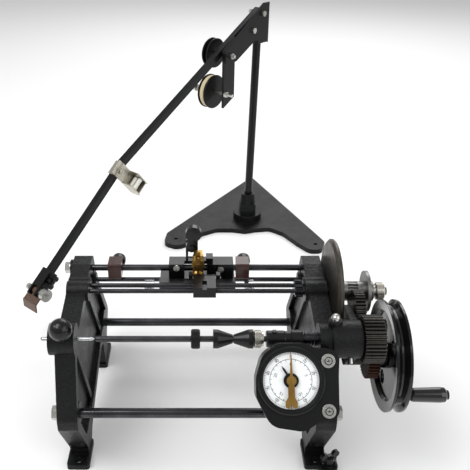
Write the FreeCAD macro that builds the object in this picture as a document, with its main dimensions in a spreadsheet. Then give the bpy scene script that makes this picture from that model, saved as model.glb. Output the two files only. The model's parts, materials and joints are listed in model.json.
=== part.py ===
"""Hand coil winding machine with its wire tension stand.

Frame: +Z up, +X along the winding spindle towards the handwheel, +Y to the back. The origin is the
centre of the four foot holes, on the bench. Millimetres.
"""
import FreeCAD, Part
import math
import os

import Sketcher

os.makedirs("parts", exist_ok=True)
doc = FreeCAD.newDocument("coil_winder")
V = FreeCAD.Vector

# Driving dimensions. Pairs that end in Y and Z are the places of axes that run along X.
SIZES = {
    "frameGap": 234.0,        # between the inner faces of the two side castings
    "flangeWide": 20.0,       # width of a casting's rim
    "webThick": 8.0,          # the plate inside the rim
    "rimThick": 7.0,
    "padThick": 6.0,          # height of a foot pad
    "footHoleX": 127.0,
    "footHoleY": 98.5,
    "footHoleRadius": 3.5,
    "tieRadius": 5.0,
    "frontTieY": -114.4,
    "frontTieZ": 87.0,
    "rearTieY": 84.0,
    "rearTieZ": 57.5,
    "upperGuideRadius": 3.5,
    "upperGuideY": 22.0,
    "upperGuideZ": 175.0,
    "lowerGuideRadius": 2.6,
    "lowerGuideY": 24.0,
    "lowerGuideZ": 158.3,
    "spindleY": -98.2,
    "spindleZ": 166.1,
    "spindleRadius": 6.0,
    "wheelY": -74.2,
    "wheelZ": 128.1,
    "stubRadius": 5.0,
    "idlerY": -53.2,
    "idlerZ": 166.1,
    "traverseY": -22.1,
    "traverseZ": 172.2,
    "secondScrewBack": 11.2,  # from the front lead screw to the rear one
    "screwRadius": 2.3,
    "handwheelRadius": 57.0,
    "crankThrow": 45.0,
    "gripRadius": 7.7,
    "gripLength": 34.0,
    "gearModule": 1.25,
    "screwGearModule": 0.8,
    "runningFit": 0.08,       # radial clearance of a shaft in its bearing
    "slideFit": 0.1,
    "counterX": 84.6,
    "counterY": -153.2,
    "counterZ": 160.8,
    "counterLean": 34.0,      # degrees that the dial leans back
    "counterRadius": 31.5,
    "counterDepth": 22.0,
    "dialRadius": 25.7,
    "standX": 91.0,
    "standY": 483.0,
    "standPlate": 8.0,
    "postRadius": 6.5,
    "postLength": 350.0,
    "armSquare": 9.0,
}

sheet = doc.addObject("Spreadsheet::Sheet", "Sizes")
for row, (name, value) in enumerate(SIZES.items(), start=1):
    sheet.set("A%d" % row, name)
    sheet.set("B%d" % row, str(value))
    sheet.setAlias("B%d" % row, name)
doc.recompute()


def size(name):
    """Value of one driving dimension, read from the sheet."""
    return float(getattr(sheet, name))


def place(x, y, z, rotation=None):
    """Placement at a point, turned if a rotation is given."""
    return FreeCAD.Placement(V(x, y, z), rotation or FreeCAD.Rotation())


# Shared helpers

def new_body(label, at=None):
    """Empty PartDesign body with its label and place."""
    body = doc.addObject("PartDesign::Body", label)
    body.Label = label
    body.Placement = at or place(0, 0, 0)
    return body


def origin_plane(body, role):
    """One of a body's own origin planes, by role."""
    for item in body.Origin.OriginFeatures:
        if item.Role == role:
            return item
    raise ValueError(role)


def add_sketch(body, name, role, offset=0.0):
    """Sketch on an origin plane, moved along its normal."""
    sketch = body.newObject("Sketcher::SketchObject", name)
    sketch.AttachmentSupport = [(origin_plane(body, role), "")]
    sketch.MapMode = "FlatFace"
    sketch.AttachmentOffset = place(0, 0, offset)
    return sketch


def add_polygon(sketch, points):
    """Closed outline of straight lines."""
    count = len(points)
    for index in range(count):
        start = V(points[index][0], points[index][1], 0)
        end = V(points[(index + 1) % count][0], points[(index + 1) % count][1], 0)
        sketch.addGeometry(Part.LineSegment(start, end), False)
    return sketch


def add_circle(sketch, x, y, radius):
    """Circle held by constraints; radius is a number or a formula of the sheet."""
    formula = isinstance(radius, str)
    value = size(radius.split(".")[1].split(" ")[0]) if formula else radius
    index = sketch.addGeometry(Part.Circle(V(x, y, 0), V(0, 0, 1), value), False)
    held = sketch.addConstraint(Sketcher.Constraint("Radius", index, value))
    if formula:
        sketch.setExpression("Constraints[%d]" % held, radius)
    return sketch


def add_rectangle(sketch, left, bottom, right, top):
    """Closed rectangle."""
    return add_polygon(sketch, [(left, bottom), (right, bottom), (right, top), (left, top)])


def pad(body, sketch, length, name):
    """Pad of a sketch; length is a number or a formula of the sheet."""
    feature = body.newObject("PartDesign::Pad", name)
    feature.Profile = sketch
    if isinstance(length, str):
        feature.setExpression("Length", length)
    else:
        feature.Length = length
    return feature


def pocket(body, sketch, name, length=None):
    """Cut of a sketch on both sides of its plane, through everything or to a length."""
    feature = body.newObject("PartDesign::Pocket", name)
    feature.Profile = sketch
    if length is None:
        feature.Type = "ThroughAll"
        feature.Midplane = True
    else:
        feature.Length = length
        feature.Midplane = True
    return feature


def rod(label, radius, x_start, length, y, z):
    """Plain round rod along X."""
    body = new_body(label, place(x_start, y, z))
    sketch = add_circle(add_sketch(body, label + "_section", "YZ_Plane"), 0, 0, radius)
    pad(body, sketch, length, label + "_pad")
    return body


def turned(label, profile, at, bore=0.0):
    """Turned piece about its own X axis from (along, radius) points, left to right."""
    body = new_body(label, at)
    sketch = add_sketch(body, label + "_profile", "XY_Plane")
    outline = list(profile)
    if outline[0][1] > bore:
        outline.insert(0, (profile[0][0], bore))
    if outline[-1][1] > bore:
        outline.append((profile[-1][0], bore))
    add_polygon(sketch, outline)
    turn = body.newObject("PartDesign::Revolution", label + "_turn")
    turn.Profile = sketch
    turn.ReferenceAxis = (sketch, ["H_Axis"])
    turn.Angle = 360.0
    return body


def cylinder(start, direction, radius, length):
    """Plain cylinder shape from a point along a direction."""
    return Part.makeCylinder(radius, length, start, direction)


def box(x_low, x_high, y_low, y_high, z_low, z_high):
    """Plain box shape between two corners."""
    return Part.makeBox(x_high - x_low, y_high - y_low, z_high - z_low, V(x_low, y_low, z_low))


def prism(points, x_low, x_high):
    """Plate along X from (y, z) points."""
    vectors = [V(x_low, y, z) for y, z in points]
    face = Part.Face(Part.makePolygon(vectors + [vectors[0]]))
    return face.extrude(V(x_high - x_low, 0, 0))


def feature(label, shape, at=None):
    """Sub-part whose shape is built in code from the sheet's sizes."""
    item = doc.addObject("Part::Feature", label)
    item.Label = label
    item.Shape = shape
    if at is not None:
        item.Placement = at
    return item


def x_axis_hexagon(x_low, x_high, y, z, across):
    """Hexagonal prism along X, for nuts and bolt heads."""
    radius = across / math.sqrt(3.0)
    points = []
    for step in range(6):
        angle = math.radians(60.0 * step)
        points.append((y + radius * math.cos(angle), z + radius * math.sin(angle)))
    return prism(points, x_low, x_high)


def gear_shape(teeth, module, x_low, x_high, turn, bore):
    """Spur gear about X with straight flanked teeth.

    teeth: number of teeth; module: pitch diameter per tooth; turn: degrees that the first tooth
    is turned from +Y; bore: radius of the hole.
    """
    pitch = teeth * module / 2.0
    outer = pitch + 0.9 * module
    root = pitch - 1.2 * module
    share = 360.0 / teeth
    points = []
    for tooth in range(teeth):
        middle = turn + tooth * share
        for radius, part in ((root, -0.35), (pitch, -0.225), (outer, -0.11),
                             (outer, 0.11), (pitch, 0.225), (root, 0.35)):
            angle = math.radians(middle + part * share)
            points.append((radius * math.cos(angle), radius * math.sin(angle)))
    blank = prism(points, x_low, x_high)
    if bore <= 0:
        return blank
    return blank.cut(cylinder(V(x_low - 1, 0, 0), V(1, 0, 0), bore, x_high - x_low + 2))


def mesh_turn(teeth, line_angle, driver_teeth, driver_turn):
    """Turn of a gear so that it meshes with a driver.

    line_angle: direction in degrees from the driver's axis to this gear's axis.
    """
    driver_share = 360.0 / driver_teeth
    phase = ((line_angle - driver_turn) / driver_share) % 1.0
    share = 360.0 / teeth
    return line_angle + 180.0 + (0.5 + phase) * share


def angle_between(first_y, first_z, second_y, second_z):
    """Direction in degrees from one X axis to another."""
    return math.degrees(math.atan2(second_z - first_z, second_y - first_y))


# Places and radii that several pieces share

INNER = size("frameGap") / 2.0
OUTER = INNER + size("flangeWide")
WEB_INNER = INNER + 6.0
WEB_OUTER = WEB_INNER + size("webThick")
FIT = size("runningFit")
SLIDE = size("slideFit")

SPINDLE = (size("spindleY"), size("spindleZ"))
WHEEL = (size("wheelY"), size("wheelZ"))
IDLER = (size("idlerY"), size("idlerZ"))
TRAVERSE = (size("traverseY"), size("traverseZ"))
FRONT_TIE = (size("frontTieY"), size("frontTieZ"))
REAR_TIE = (size("rearTieY"), size("rearTieZ"))
UPPER_GUIDE = (size("upperGuideY"), size("upperGuideZ"))
LOWER_GUIDE = (size("lowerGuideY"), size("lowerGuideZ"))
SECOND_SCREW = (TRAVERSE[0] + size("secondScrewBack"), TRAVERSE[1])

SPINDLE_TEETH = 36
WHEEL_TEETH = 36
IDLER_TEETH = 36
PINION_TEETH = 15
SCREW_TEETH = 14
SPINDLE_GEAR = (158.5, 178.0)   # where each gear starts and ends along X
IDLER_GEAR = (158.5, 168.5)
WHEEL_GEAR = (171.0, 182.5)
DISC = (139.0, 145.0)
BARREL_END = 157.5
BARREL_RADIUS = 18.5
HEAD_CORNERS = 13.0             # across the flats of the tie rod bolts


# Side castings

CASTING_OUTLINE = [
    (14, 184), (-80, 166), (-108, 158), (-131, 90), (-130, 78), (-90, 16), (-90, 3),
    (-70, 3), (-60, 15), (-36, 26), (44, 50), (58, 44), (66, 3), (89, 3),
    (90.5, 34), (117, 58), (52, 146), (36, 184),
]
CASTING_PANEL = [
    (10, 173), (-78, 157), (-101, 150), (-122, 92), (-120, 82), (-92, 36),
    (-38, 38), (52, 63), (102, 62), (44, 142), (29, 175),
]
# Plain bosses: axis, radius, and how far they stand in and out from the rim's faces.
CASTING_BOSSES = [
    (SPINDLE, 15.5, 0.0, 5.0),
    (FRONT_TIE, 12.0, 0.0, 0.0),
    (REAR_TIE, 16.0, 0.0, 0.0),
    (UPPER_GUIDE, 9.0, 0.0, 3.0),
    (LOWER_GUIDE, 8.0, 4.0, 0.0),
    (TRAVERSE, 11.0, 3.0, 0.0),
    (SECOND_SCREW, 9.0, 3.0, 0.0),
]


def rounded_wire(points, radius):
    """Line and arc pieces of a closed outline whose corners are rounded where there is room."""
    count = len(points)
    starts, ends, arcs = [], [], []
    for index in range(count):
        corner = V(points[index][0], points[index][1], 0)
        before = V(points[index - 1][0], points[index - 1][1], 0)
        after = V(points[(index + 1) % count][0], points[(index + 1) % count][1], 0)
        back = (before - corner)
        ahead = (after - corner)
        room = 0.42 * min(back.Length, ahead.Length)
        back.normalize()
        ahead.normalize()
        half = back.getAngle(ahead) / 2.0
        reach = min(radius / math.tan(half), room)
        curve = reach * math.tan(half)
        enter = corner + back * reach
        leave = corner + ahead * reach
        middle_line = back + ahead
        middle_line.normalize()
        centre = corner + middle_line * (curve / math.sin(half))
        nearest = centre + (corner - centre).normalize() * curve
        starts.append(enter)
        ends.append(leave)
        arcs.append(Part.Arc(enter, nearest, leave))
    pieces = []
    for index in range(count):
        pieces.append(arcs[index])
        pieces.append(Part.LineSegment(ends[index], starts[(index + 1) % count]))
    return pieces


def add_rounded(sketch, points, radius):
    """Closed outline with rounded corners."""
    sketch.addGeometry(rounded_wire(points, radius), False)
    return sketch


def span(side, near, far):
    """Start and length along X of something between two distances on one side."""
    return (near if side > 0 else -far), far - near


def casting_plate(body, side):
    """Web, rim and the two ribs of a side casting."""
    start, length = span(side, WEB_INNER, WEB_OUTER)
    sketch = add_rounded(add_sketch(body, body.Name + "_web", "YZ_Plane", start), CASTING_OUTLINE, 8.0)
    pad(body, sketch, "Sizes.webThick", body.Name + "_web_pad")
    start, length = span(side, INNER, OUTER)
    sketch = add_sketch(body, body.Name + "_rim", "YZ_Plane", start)
    add_rounded(sketch, CASTING_OUTLINE, 8.0)
    add_rounded(sketch, CASTING_PANEL, 7.0)
    pad(body, sketch, "Sizes.flangeWide", body.Name + "_rim_pad")
    start, length = span(side, WEB_INNER - 4.0, WEB_OUTER + 4.0)
    ribs = (((-96, 150), (-89, 151), (-30, 36), (-38, 36)), ((-14, 168), (-7, 170), (66, 62), (58, 60)))
    for index, rib in enumerate(ribs):
        sketch = add_sketch(body, body.Name + "_rib%d" % index, "YZ_Plane", start)
        add_polygon(sketch, rib)
        pad(body, sketch, length, body.Name + "_rib_pad%d" % index)


def casting_feet(body, side):
    """Two foot pads with their holes' bosses."""
    centre = side * size("footHoleX")
    for index, (front, back) in enumerate(((-106.5, -66.0), (64.0, 110.0))):
        sketch = add_sketch(body, body.Name + "_foot%d" % index, "XY_Plane")
        outline = [(centre - 12, front), (centre + 12, front), (centre + 12, back), (centre - 12, back)]
        add_rounded(sketch, outline, 3.5)
        pad(body, sketch, "Sizes.padThick", body.Name + "_foot_pad%d" % index)
    if side > 0:
        add_foot_ear(body)


FOOT_KNOB = (141.0, -103.0)


def add_foot_ear(body):
    """Ear of the right front foot that takes the wing knob's stud."""
    x, y = FOOT_KNOB
    sketch = add_sketch(body, "foot_ear", "XY_Plane")
    add_rounded(sketch, [(x - 12, y - 9), (x + 9, y - 9), (x + 9, y + 9), (x - 12, y + 9)], 6.0)
    pad(body, sketch, "Sizes.padThick", "foot_ear_pad")
    sketch = add_sketch(body, "foot_ear_hole", "XY_Plane")
    add_circle(sketch, x, y, 2.5 + FIT)
    pocket(body, sketch, "foot_ear_cut", 2.0 * size("padThick") + 2.0)


def casting_bosses(body, side):
    """Round bosses of the rods, screws and spindle."""
    for index, (axis, radius, inward, outward) in enumerate(CASTING_BOSSES):
        start, length = span(side, INNER - inward, OUTER + outward)
        if side > 0 and axis in (UPPER_GUIDE,):
            length -= outward
        sketch = add_sketch(body, body.Name + "_boss%d" % index, "YZ_Plane", start)
        add_circle(sketch, axis[0], axis[1], radius)
        pad(body, sketch, length, body.Name + "_boss_pad%d" % index)


def casting_foot_holes(body, side):
    """Bolt holes of the two feet, each with room above it for the bolt head."""
    sketch = add_sketch(body, body.Name + "_foot_holes", "XY_Plane")
    for sign in (-1, 1):
        add_circle(sketch, side * size("footHoleX"), sign * size("footHoleY"), "Sizes.footHoleRadius")
    pocket(body, sketch, body.Name + "_foot_bore", 2.0 * size("padThick") + 0.5)
    sketch = add_sketch(body, body.Name + "_head_room", "XY_Plane", size("padThick") + 14.0)
    for sign in (-1, 1):
        add_circle(sketch, side * size("footHoleX"), sign * size("footHoleY"), 7.5)
    pocket(body, sketch, body.Name + "_head_bore", 28.0)


def casting_bores(body, side, bores):
    """Bores along X; each is an axis, a radius and where it starts and ends from the middle."""
    for index, (axis, radius, near, far) in enumerate(bores):
        middle = side * (near + far) / 2.0
        sketch = add_sketch(body, body.Name + "_bore%d" % index, "YZ_Plane", middle)
        add_circle(sketch, axis[0], axis[1], radius)
        pocket(body, sketch, body.Name + "_bore_cut%d" % index, far - near)


def left_frame():
    """Left side casting with the tailstock boss."""
    body = new_body("left_frame")
    casting_plate(body, -1)
    casting_feet(body, -1)
    casting_bosses(body, -1)
    casting_foot_holes(body, -1)
    deep = OUTER + 12.0
    casting_bores(body, -1, [
        (FRONT_TIE, size("tieRadius"), INNER - 6, OUTER - 3), (FRONT_TIE, 3.0, OUTER - 4, deep),
        (REAR_TIE, size("tieRadius"), INNER - 6, OUTER - 3), (REAR_TIE, 3.0, OUTER - 4, deep),
        (UPPER_GUIDE, size("upperGuideRadius"), INNER - 6, OUTER - 1), (UPPER_GUIDE, 3.0, OUTER - 2, deep),
        (LOWER_GUIDE, size("lowerGuideRadius"), INNER - 6, OUTER - 4),
        (TRAVERSE, size("screwRadius") + FIT, INNER - 6, OUTER - 4),
        (SECOND_SCREW, size("screwRadius") + FIT, INNER - 6, OUTER - 4),
        (SPINDLE, 2.0 + FIT, INNER - 6, deep),
    ])
    tilt = math.radians(LOCK_TILT)
    out = V(0, -math.cos(tilt), math.sin(tilt))
    add_slanted_hole(body, "lock_hole", V(LOCK_X, *SPINDLE), out, 2.5, 22.0)
    return body


LOCK_TILT = 53.0    # degrees above the horizon of the tailstock lock screw, towards the front
LOCK_X = -126.8


def add_slanted_hole(body, name, start, direction, radius, length):
    """Round hole from a point along any direction."""
    sketch = body.newObject("Sketcher::SketchObject", name)
    sketch.AttachmentSupport = [(origin_plane(body, "XY_Plane"), "")]
    sketch.MapMode = "FlatFace"
    sketch.AttachmentOffset = FreeCAD.Placement(start, FreeCAD.Rotation(V(0, 0, 1), direction))
    add_circle(sketch, 0, 0, radius)
    cut = body.newObject("PartDesign::Pocket", name + "_cut")
    cut.Profile = sketch
    cut.Length = length
    cut.Reversed = True
    return cut


def right_frame():
    """Right side casting with the spindle barrel, the handwheel arm and the counter lug."""
    body = new_body("right_frame")
    casting_plate(body, 1)
    casting_feet(body, 1)
    casting_bosses(body, 1)
    casting_foot_holes(body, 1)
    add_barrel(body)
    add_counter_lug(body)
    deep = OUTER + 12.0
    casting_bores(body, 1, [
        (FRONT_TIE, size("tieRadius"), INNER - 6, OUTER - 3), (FRONT_TIE, 3.0, OUTER - 4, deep),
        (REAR_TIE, size("tieRadius"), INNER - 6, OUTER - 3), (REAR_TIE, 3.0, OUTER - 4, deep),
        (UPPER_GUIDE, size("upperGuideRadius"), INNER - 6, OUTER - 4),
        (LOWER_GUIDE, size("lowerGuideRadius"), INNER - 6, OUTER - 4),
        (TRAVERSE, size("screwRadius") + 2.0 + FIT, INNER - 6, deep),
        (SECOND_SCREW, size("screwRadius") + FIT, INNER - 6, OUTER - 4),
        (SPINDLE, size("spindleRadius") + FIT, INNER - 6, BARREL_END + 3),
        (WHEEL, size("stubRadius"), 146.0, 174.0),
        (IDLER, 4.0, 146.0, 160.0),
    ])
    add_slanted_hole(body, "set_screw_hole", V(148.0, *SPINDLE), SET_SCREW_OUT, 3.0, 24.0)
    return body


SET_SCREW_OUT = V(0, -0.55, -0.835).normalize()


def bar_between(first, second, radius_first, radius_second):
    """Outline points of a flat arm that joins two round ends."""
    along = V(second[0] - first[0], second[1] - first[1], 0).normalize()
    across = V(-along.y, along.x, 0)
    ends = [(first, radius_first, 1), (second, radius_second, 1),
            (second, radius_second, -1), (first, radius_first, -1)]
    return [(axis[0] + across.x * radius * sign, axis[1] + across.y * radius * sign)
            for axis, radius, sign in ends]


def add_barrel(body):
    """Bearing barrel of the spindle with the arms of the idler stud and the handwheel shaft."""
    for index, (axis, radius, start, end) in enumerate((
            (SPINDLE, BARREL_RADIUS, OUTER - 8.0, BARREL_END),
            (WHEEL, 10.0, 149.5, 169.8),
            (IDLER, 8.0, 149.5, BARREL_END))):
        sketch = add_sketch(body, "barrel%d" % index, "YZ_Plane", start)
        add_circle(sketch, axis[0], axis[1], radius)
        pad(body, sketch, end - start, "barrel_pad%d" % index)
    for index, (axis, radius) in enumerate(((WHEEL, 10.0), (IDLER, 8.0))):
        sketch = add_sketch(body, "arm%d" % index, "YZ_Plane", 149.5)
        add_polygon(sketch, bar_between(SPINDLE, axis, 14.0, radius))
        pad(body, sketch, BARREL_END - 149.5, "arm_pad%d" % index)
    sketch = add_sketch(body, "oil_boss", "XY_Plane", SPINDLE[1])
    add_circle(sketch, 132.0, SPINDLE[0], 6.5)
    pad(body, sketch, BARREL_RADIUS + 4.0, "oil_boss_pad")


COUNTER_TURN = FreeCAD.Rotation(V(1, 0, 0), 90.0 - size("counterLean"))
COUNTER_PLACE = place(size("counterX"), size("counterY"), size("counterZ"), COUNTER_TURN)
COUNTER_BOLTS = ((33.7, 17.5), (33.7, -27.0))


def counter_sketch(body, name, depth):
    """Sketch that lies parallel to the dial, at a depth behind the dial's face."""
    sketch = body.newObject("Sketcher::SketchObject", name)
    sketch.AttachmentSupport = [(origin_plane(body, "XY_Plane"), "")]
    sketch.MapMode = "FlatFace"
    shift = COUNTER_PLACE.multVec(V(0, 0, -depth))
    sketch.AttachmentOffset = FreeCAD.Placement(shift, COUNTER_TURN)
    return sketch


def add_counter_lug(body):
    """Lug at the front of the right casting that carries the counter."""
    depth = size("counterDepth")
    sketch = counter_sketch(body, "lug_face", depth + 12.0)
    add_rounded(sketch, [(28, -33), (43, -33), (43, 26), (28, 26)], 3.0)
    pad(body, sketch, 12.0, "lug_face_pad")
    sketch = counter_sketch(body, "lug_neck", depth + 46.0)
    add_polygon(sketch, [(36, -30), (43, -30), (43, 20), (36, 20)])
    pad(body, sketch, 35.0, "lug_neck_pad")
    sketch = counter_sketch(body, "lug_threads", depth - 1.0)
    for x, y in COUNTER_BOLTS:
        add_circle(sketch, x, y, 2.5)
    cut = body.newObject("PartDesign::Pocket", "lug_threads_cut")
    cut.Profile = sketch
    cut.Length = 12.0


# Rods, their bolts and the nuts

def rods():
    """Tie rods and guide rods between the castings."""
    tie = 2.0 * (OUTER - 3.0)
    pair = [cylinder(V(-tie / 2, *axis), V(1, 0, 0), size("tieRadius"), tie)
            for axis in (FRONT_TIE, REAR_TIE)]
    feature("tie_rods", Part.makeCompound(pair))
    left = OUTER - 1.0
    rod("upper_guide_rod", "Sizes.upperGuideRadius", -left, left + OUTER - 4.0, *UPPER_GUIDE)
    guide = 2.0 * (OUTER - 4.0)
    rod("lower_guide_rod", "Sizes.lowerGuideRadius", -guide / 2, guide, *LOWER_GUIDE)


def frame_bolts():
    """Bolts of the two castings: tie rods, upper guide rod, idler stud and barrel set screw."""
    shapes = [guide_rod_bolt(), idler_stud(), barrel_set_screw()]
    for axis in (FRONT_TIE, REAR_TIE):
        for side in (-1, 1):
            washer = cylinder(V(side * OUTER, axis[0], axis[1]), V(side, 0, 0), 8.5, 1.4)
            low, high = sorted((side * (OUTER + 1.4), side * (OUTER + 7.4)))
            head = x_axis_hexagon(low, high, axis[0], axis[1], HEAD_CORNERS)
            shank = cylinder(V(side * (OUTER - 3.0), axis[0], axis[1]), V(side, 0, 0), 3.0, 5.0)
            shapes.append(washer.fuse([head, shank]).removeSplitter())
    feature("frame_bolts", Part.makeCompound(shapes))


def guide_rod_bolt():
    """Bolt that holds the upper guide rod in the left casting."""
    axis = UPPER_GUIDE
    face = OUTER + 3.0
    washer = cylinder(V(-face, axis[0], axis[1]), V(-1, 0, 0), 7.0, 1.2)
    head = x_axis_hexagon(-face - 6.2, -face - 1.2, axis[0], axis[1], 11.0)
    shank = cylinder(V(-OUTER + 1.0, axis[0], axis[1]), V(-1, 0, 0), 3.0, 5.0)
    return washer.fuse([head, shank]).removeSplitter()


def idler_stud():
    """Shouldered stud on which the idler turns."""
    y, z = IDLER
    stud = cylinder(V(150.0, y, z), V(1, 0, 0), 4.0, 19.2)
    return stud.fuse(cylinder(V(169.0, y, z), V(1, 0, 0), 6.5, 2.0)).removeSplitter()


def barrel_set_screw():
    """Set screw in the underside of the spindle barrel."""
    y, z = SPINDLE
    start = V(148.0, y, z) + SET_SCREW_OUT * (BARREL_RADIUS - 7.0)
    return cylinder(start, SET_SCREW_OUT, 3.0, 12.0)


# Spindle line

def tailstock():
    """Sliding centre pin and the ball knob that locks it."""
    pin = [(-151.0, 1.2), (-149.5, 2.0), (-103.0, 2.0), (-99.2, 0.6)]
    turned("tailstock_pin", pin, place(0, *SPINDLE))
    tilt = FreeCAD.Rotation(V(0, 1, 0), -90.0)
    radial = FreeCAD.Rotation(V(1, 0, 0), 180.0 - LOCK_TILT - 90.0)
    at = place(LOCK_X, SPINDLE[0], SPINDLE[1], radial.multiply(tilt))
    body = turned("ball_lock_knob", ball_profile(), at)
    return body


def ball_profile():
    """Profile of the ball knob: its screw, its collar and a ball of 22 mm."""
    ball = 10.9
    centre = 29.5
    neck = 5.0
    points = [(2.6, 2.3), (16.0, 2.3), (16.0, 8.0), (18.8, 8.0)]
    first = math.degrees(math.asin(neck / ball))
    for step in range(13):
        angle = math.radians(180.0 - first - step * (180.0 - first) / 12.0)
        points.append((centre + ball * math.cos(angle), ball * math.sin(angle)))
    points[-1] = (centre + ball, 0.0)
    return points


def spindle_line():
    """Spindle with its worm, drive head and gear, and the winding rod with its cones."""
    y, z = SPINDLE
    radius = size("spindleRadius")
    shaft = [(85.5, radius), (102.0, radius), (102.0, 6.5)]
    for turn in range(4):
        start = 103.0 + 3.0 * turn
        shaft += [(start, 6.5), (start + 0.8, 7.4), (start + 1.6, 7.4), (start + 2.4, 6.5)]
    shaft += [(116.0, 6.5), (116.0, radius), (181.0, radius)]
    turned("spindle_shaft", shaft, place(0, y, z))
    head = [(66.8, 7.4), (68.0, 8.2), (84.0, 8.2), (85.0, 7.6), (90.0, 7.6), (91.0, 9.0),
            (101.0, 9.0), (101.6, 8.4)]
    drive = turned("drive_head", head, place(0, y, z))
    sketch = add_circle(add_sketch(drive, "head_socket", "YZ_Plane", 66.8), 0, 0, 2.95)
    pocket(drive, sketch, "head_socket_cut", 24.0)
    sketch = add_circle(add_sketch(drive, "head_bore", "YZ_Plane", 101.6), 0, 0, radius)
    pocket(drive, sketch, "head_bore_cut", 2.0 * 16.1)
    sketch = add_circle(add_sketch(drive, "head_screw", "XY_Plane", 5.0), 74.5, 0, 2.2)
    pad(drive, sketch, 4.6, "head_screw_pad")
    sketch = add_rectangle(add_sketch(drive, "screw_slot", "XY_Plane", 9.6), 74.1, -3.0, 74.9, 3.0)
    pocket(drive, sketch, "screw_slot_cut", 1.6)
    gear = gear_shape(SPINDLE_TEETH, size("gearModule"), SPINDLE_GEAR[0], SPINDLE_GEAR[1], 0.0, radius)
    feature("spindle_gear", gear, place(0, y, z))


def winding_rod_group():
    """Winding rod with two cones, thumb wheel and knurled nut."""
    at = place(0, *SPINDLE)
    rod_radius = 2.95
    turned("winding_rod", [(-98.6, 2.4), (-97.6, rod_radius), (78.5, rod_radius)], at)
    turned("thumb_wheel", [(-5.8, 8.6), (-5.0, 9.2), (2.2, 9.2), (3.0, 8.6)], at, bore=rod_radius + FIT)
    cones = []
    for middle, direction in ((34.6, -1), (35.2, 1)):
        rim = cylinder(V(14.6 * direction, 0, 0), V(direction, 0, 0), 9.2, 4.4)
        cone = Part.makeCone(4.2, 9.2, 14.6, V(0, 0, 0), V(direction, 0, 0)).fuse(rim)
        cone = cone.cut(cylinder(V(-20, 0, 0), V(1, 0, 0), rod_radius, 40)).removeSplitter()
        cone.translate(V(middle, 0, 0))
        cones.append(cone)
    feature("cones", Part.makeCompound(cones), at)
    nut = [(54.8, 7.4), (55.6, 8.2), (61.6, 8.2), (62.2, 7.0), (64.0, 7.0)]
    turned("knurled_nut", nut, at, bore=rod_radius + FIT)


# Handwheel, gears and the traverse drive

def handwheel_group():
    """Handwheel with its gear, shouldered bolt, crank pin and grip."""
    y, z = WHEEL
    bore = size("stubRadius") + FIT
    rim = size("handwheelRadius")
    middle = 196.3
    profile = [(-13.7, 12.0), (-2.8, 13.5), (-2.8, 44.5), (-6.2, 46.5), (-7.8, rim), (-5.4, rim),
               (-0.9, rim - 6.0), (0.9, rim - 6.0), (5.4, rim), (7.8, rim), (6.2, 46.5),
               (2.8, 44.5), (2.8, 13.5), (10.6, 12.0)]
    wheel = turned("handwheel", [(middle + a, r) for a, r in profile], place(0, y, z), bore=bore)
    pin_y, pin_z = crank_offset()
    sketch = add_sketch(wheel, "pin_boss", "YZ_Plane", middle - 2.8)
    add_circle(sketch, pin_y, pin_z, 9.0)
    pad(wheel, sketch, 9.0, "pin_boss_pad")
    sketch = add_sketch(wheel, "wheel_windows", "YZ_Plane", middle)
    for step in range(5):
        if step == 0:
            continue
        angle = math.radians(CRANK_ANGLE + 72.0 * step)
        add_circle(sketch, 29.0 * math.cos(angle), 29.0 * math.sin(angle), 7.5)
    pocket(wheel, sketch, "wheel_windows_cut")
    sketch = add_sketch(wheel, "pin_hole", "YZ_Plane", middle)
    add_circle(sketch, pin_y, pin_z, 3.0)
    pocket(wheel, sketch, "pin_hole_cut")
    line = angle_between(SPINDLE[0], SPINDLE[1], y, z)
    turn = mesh_turn(WHEEL_TEETH, line, SPINDLE_TEETH, 0.0)
    gear = gear_shape(WHEEL_TEETH, size("gearModule"), WHEEL_GEAR[0], WHEEL_GEAR[1], turn, bore)
    feature("handwheel_gear", gear, place(0, y, z))
    shaft = cylinder(V(150.0, 0, 0), V(1, 0, 0), size("stubRadius"), 60.0)
    shaft = shaft.fuse([x_axis_hexagon(207.2, 212.5, 0, 0, 13.0),
                        cylinder(V(212.5, 0, 0), V(1, 0, 0), 4.6, 1.6)])
    feature("handwheel_shaft", shaft.removeSplitter(), place(0, y, z))
    pin = [(middle - 2.8, 3.0), (203.4, 3.0), (203.4, 5.5), (209.0, 5.5), (209.0, 3.0),
           (244.3, 3.0), (244.3, 4.6), (246.0, 4.6)]
    turned("crank_pin", pin, place(0, y + pin_y, z + pin_z))
    grip_start = 209.6
    grip_end = grip_start + size("gripLength")
    radius = size("gripRadius")
    grip = [(grip_start, radius - 1.6), (grip_start + 2.0, radius - 0.8), (grip_end - 6.0, radius),
            (grip_end - 1.5, radius - 0.4), (grip_end, radius - 1.8)]
    turned("crank_grip", grip, place(0, y + pin_y, z + pin_z), bore=3.0 + FIT)


CRANK_ANGLE = -159.1


def crank_offset():
    """Crank pin's place from the wheel's axis, in Y and Z."""
    throw = size("crankThrow")
    angle = math.radians(CRANK_ANGLE)
    return throw * math.cos(angle), throw * math.sin(angle)


def idler_group():
    """Idler between the spindle gear and the traverse pinion."""
    y, z = IDLER
    line = angle_between(SPINDLE[0], SPINDLE[1], y, z)
    turn = mesh_turn(IDLER_TEETH, line, SPINDLE_TEETH, 0.0)
    gear = gear_shape(IDLER_TEETH, size("gearModule"), IDLER_GEAR[0], IDLER_GEAR[1], turn, 4.0 + FIT)
    feature("idler_gear", gear, place(0, y, z))
    return turn


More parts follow.
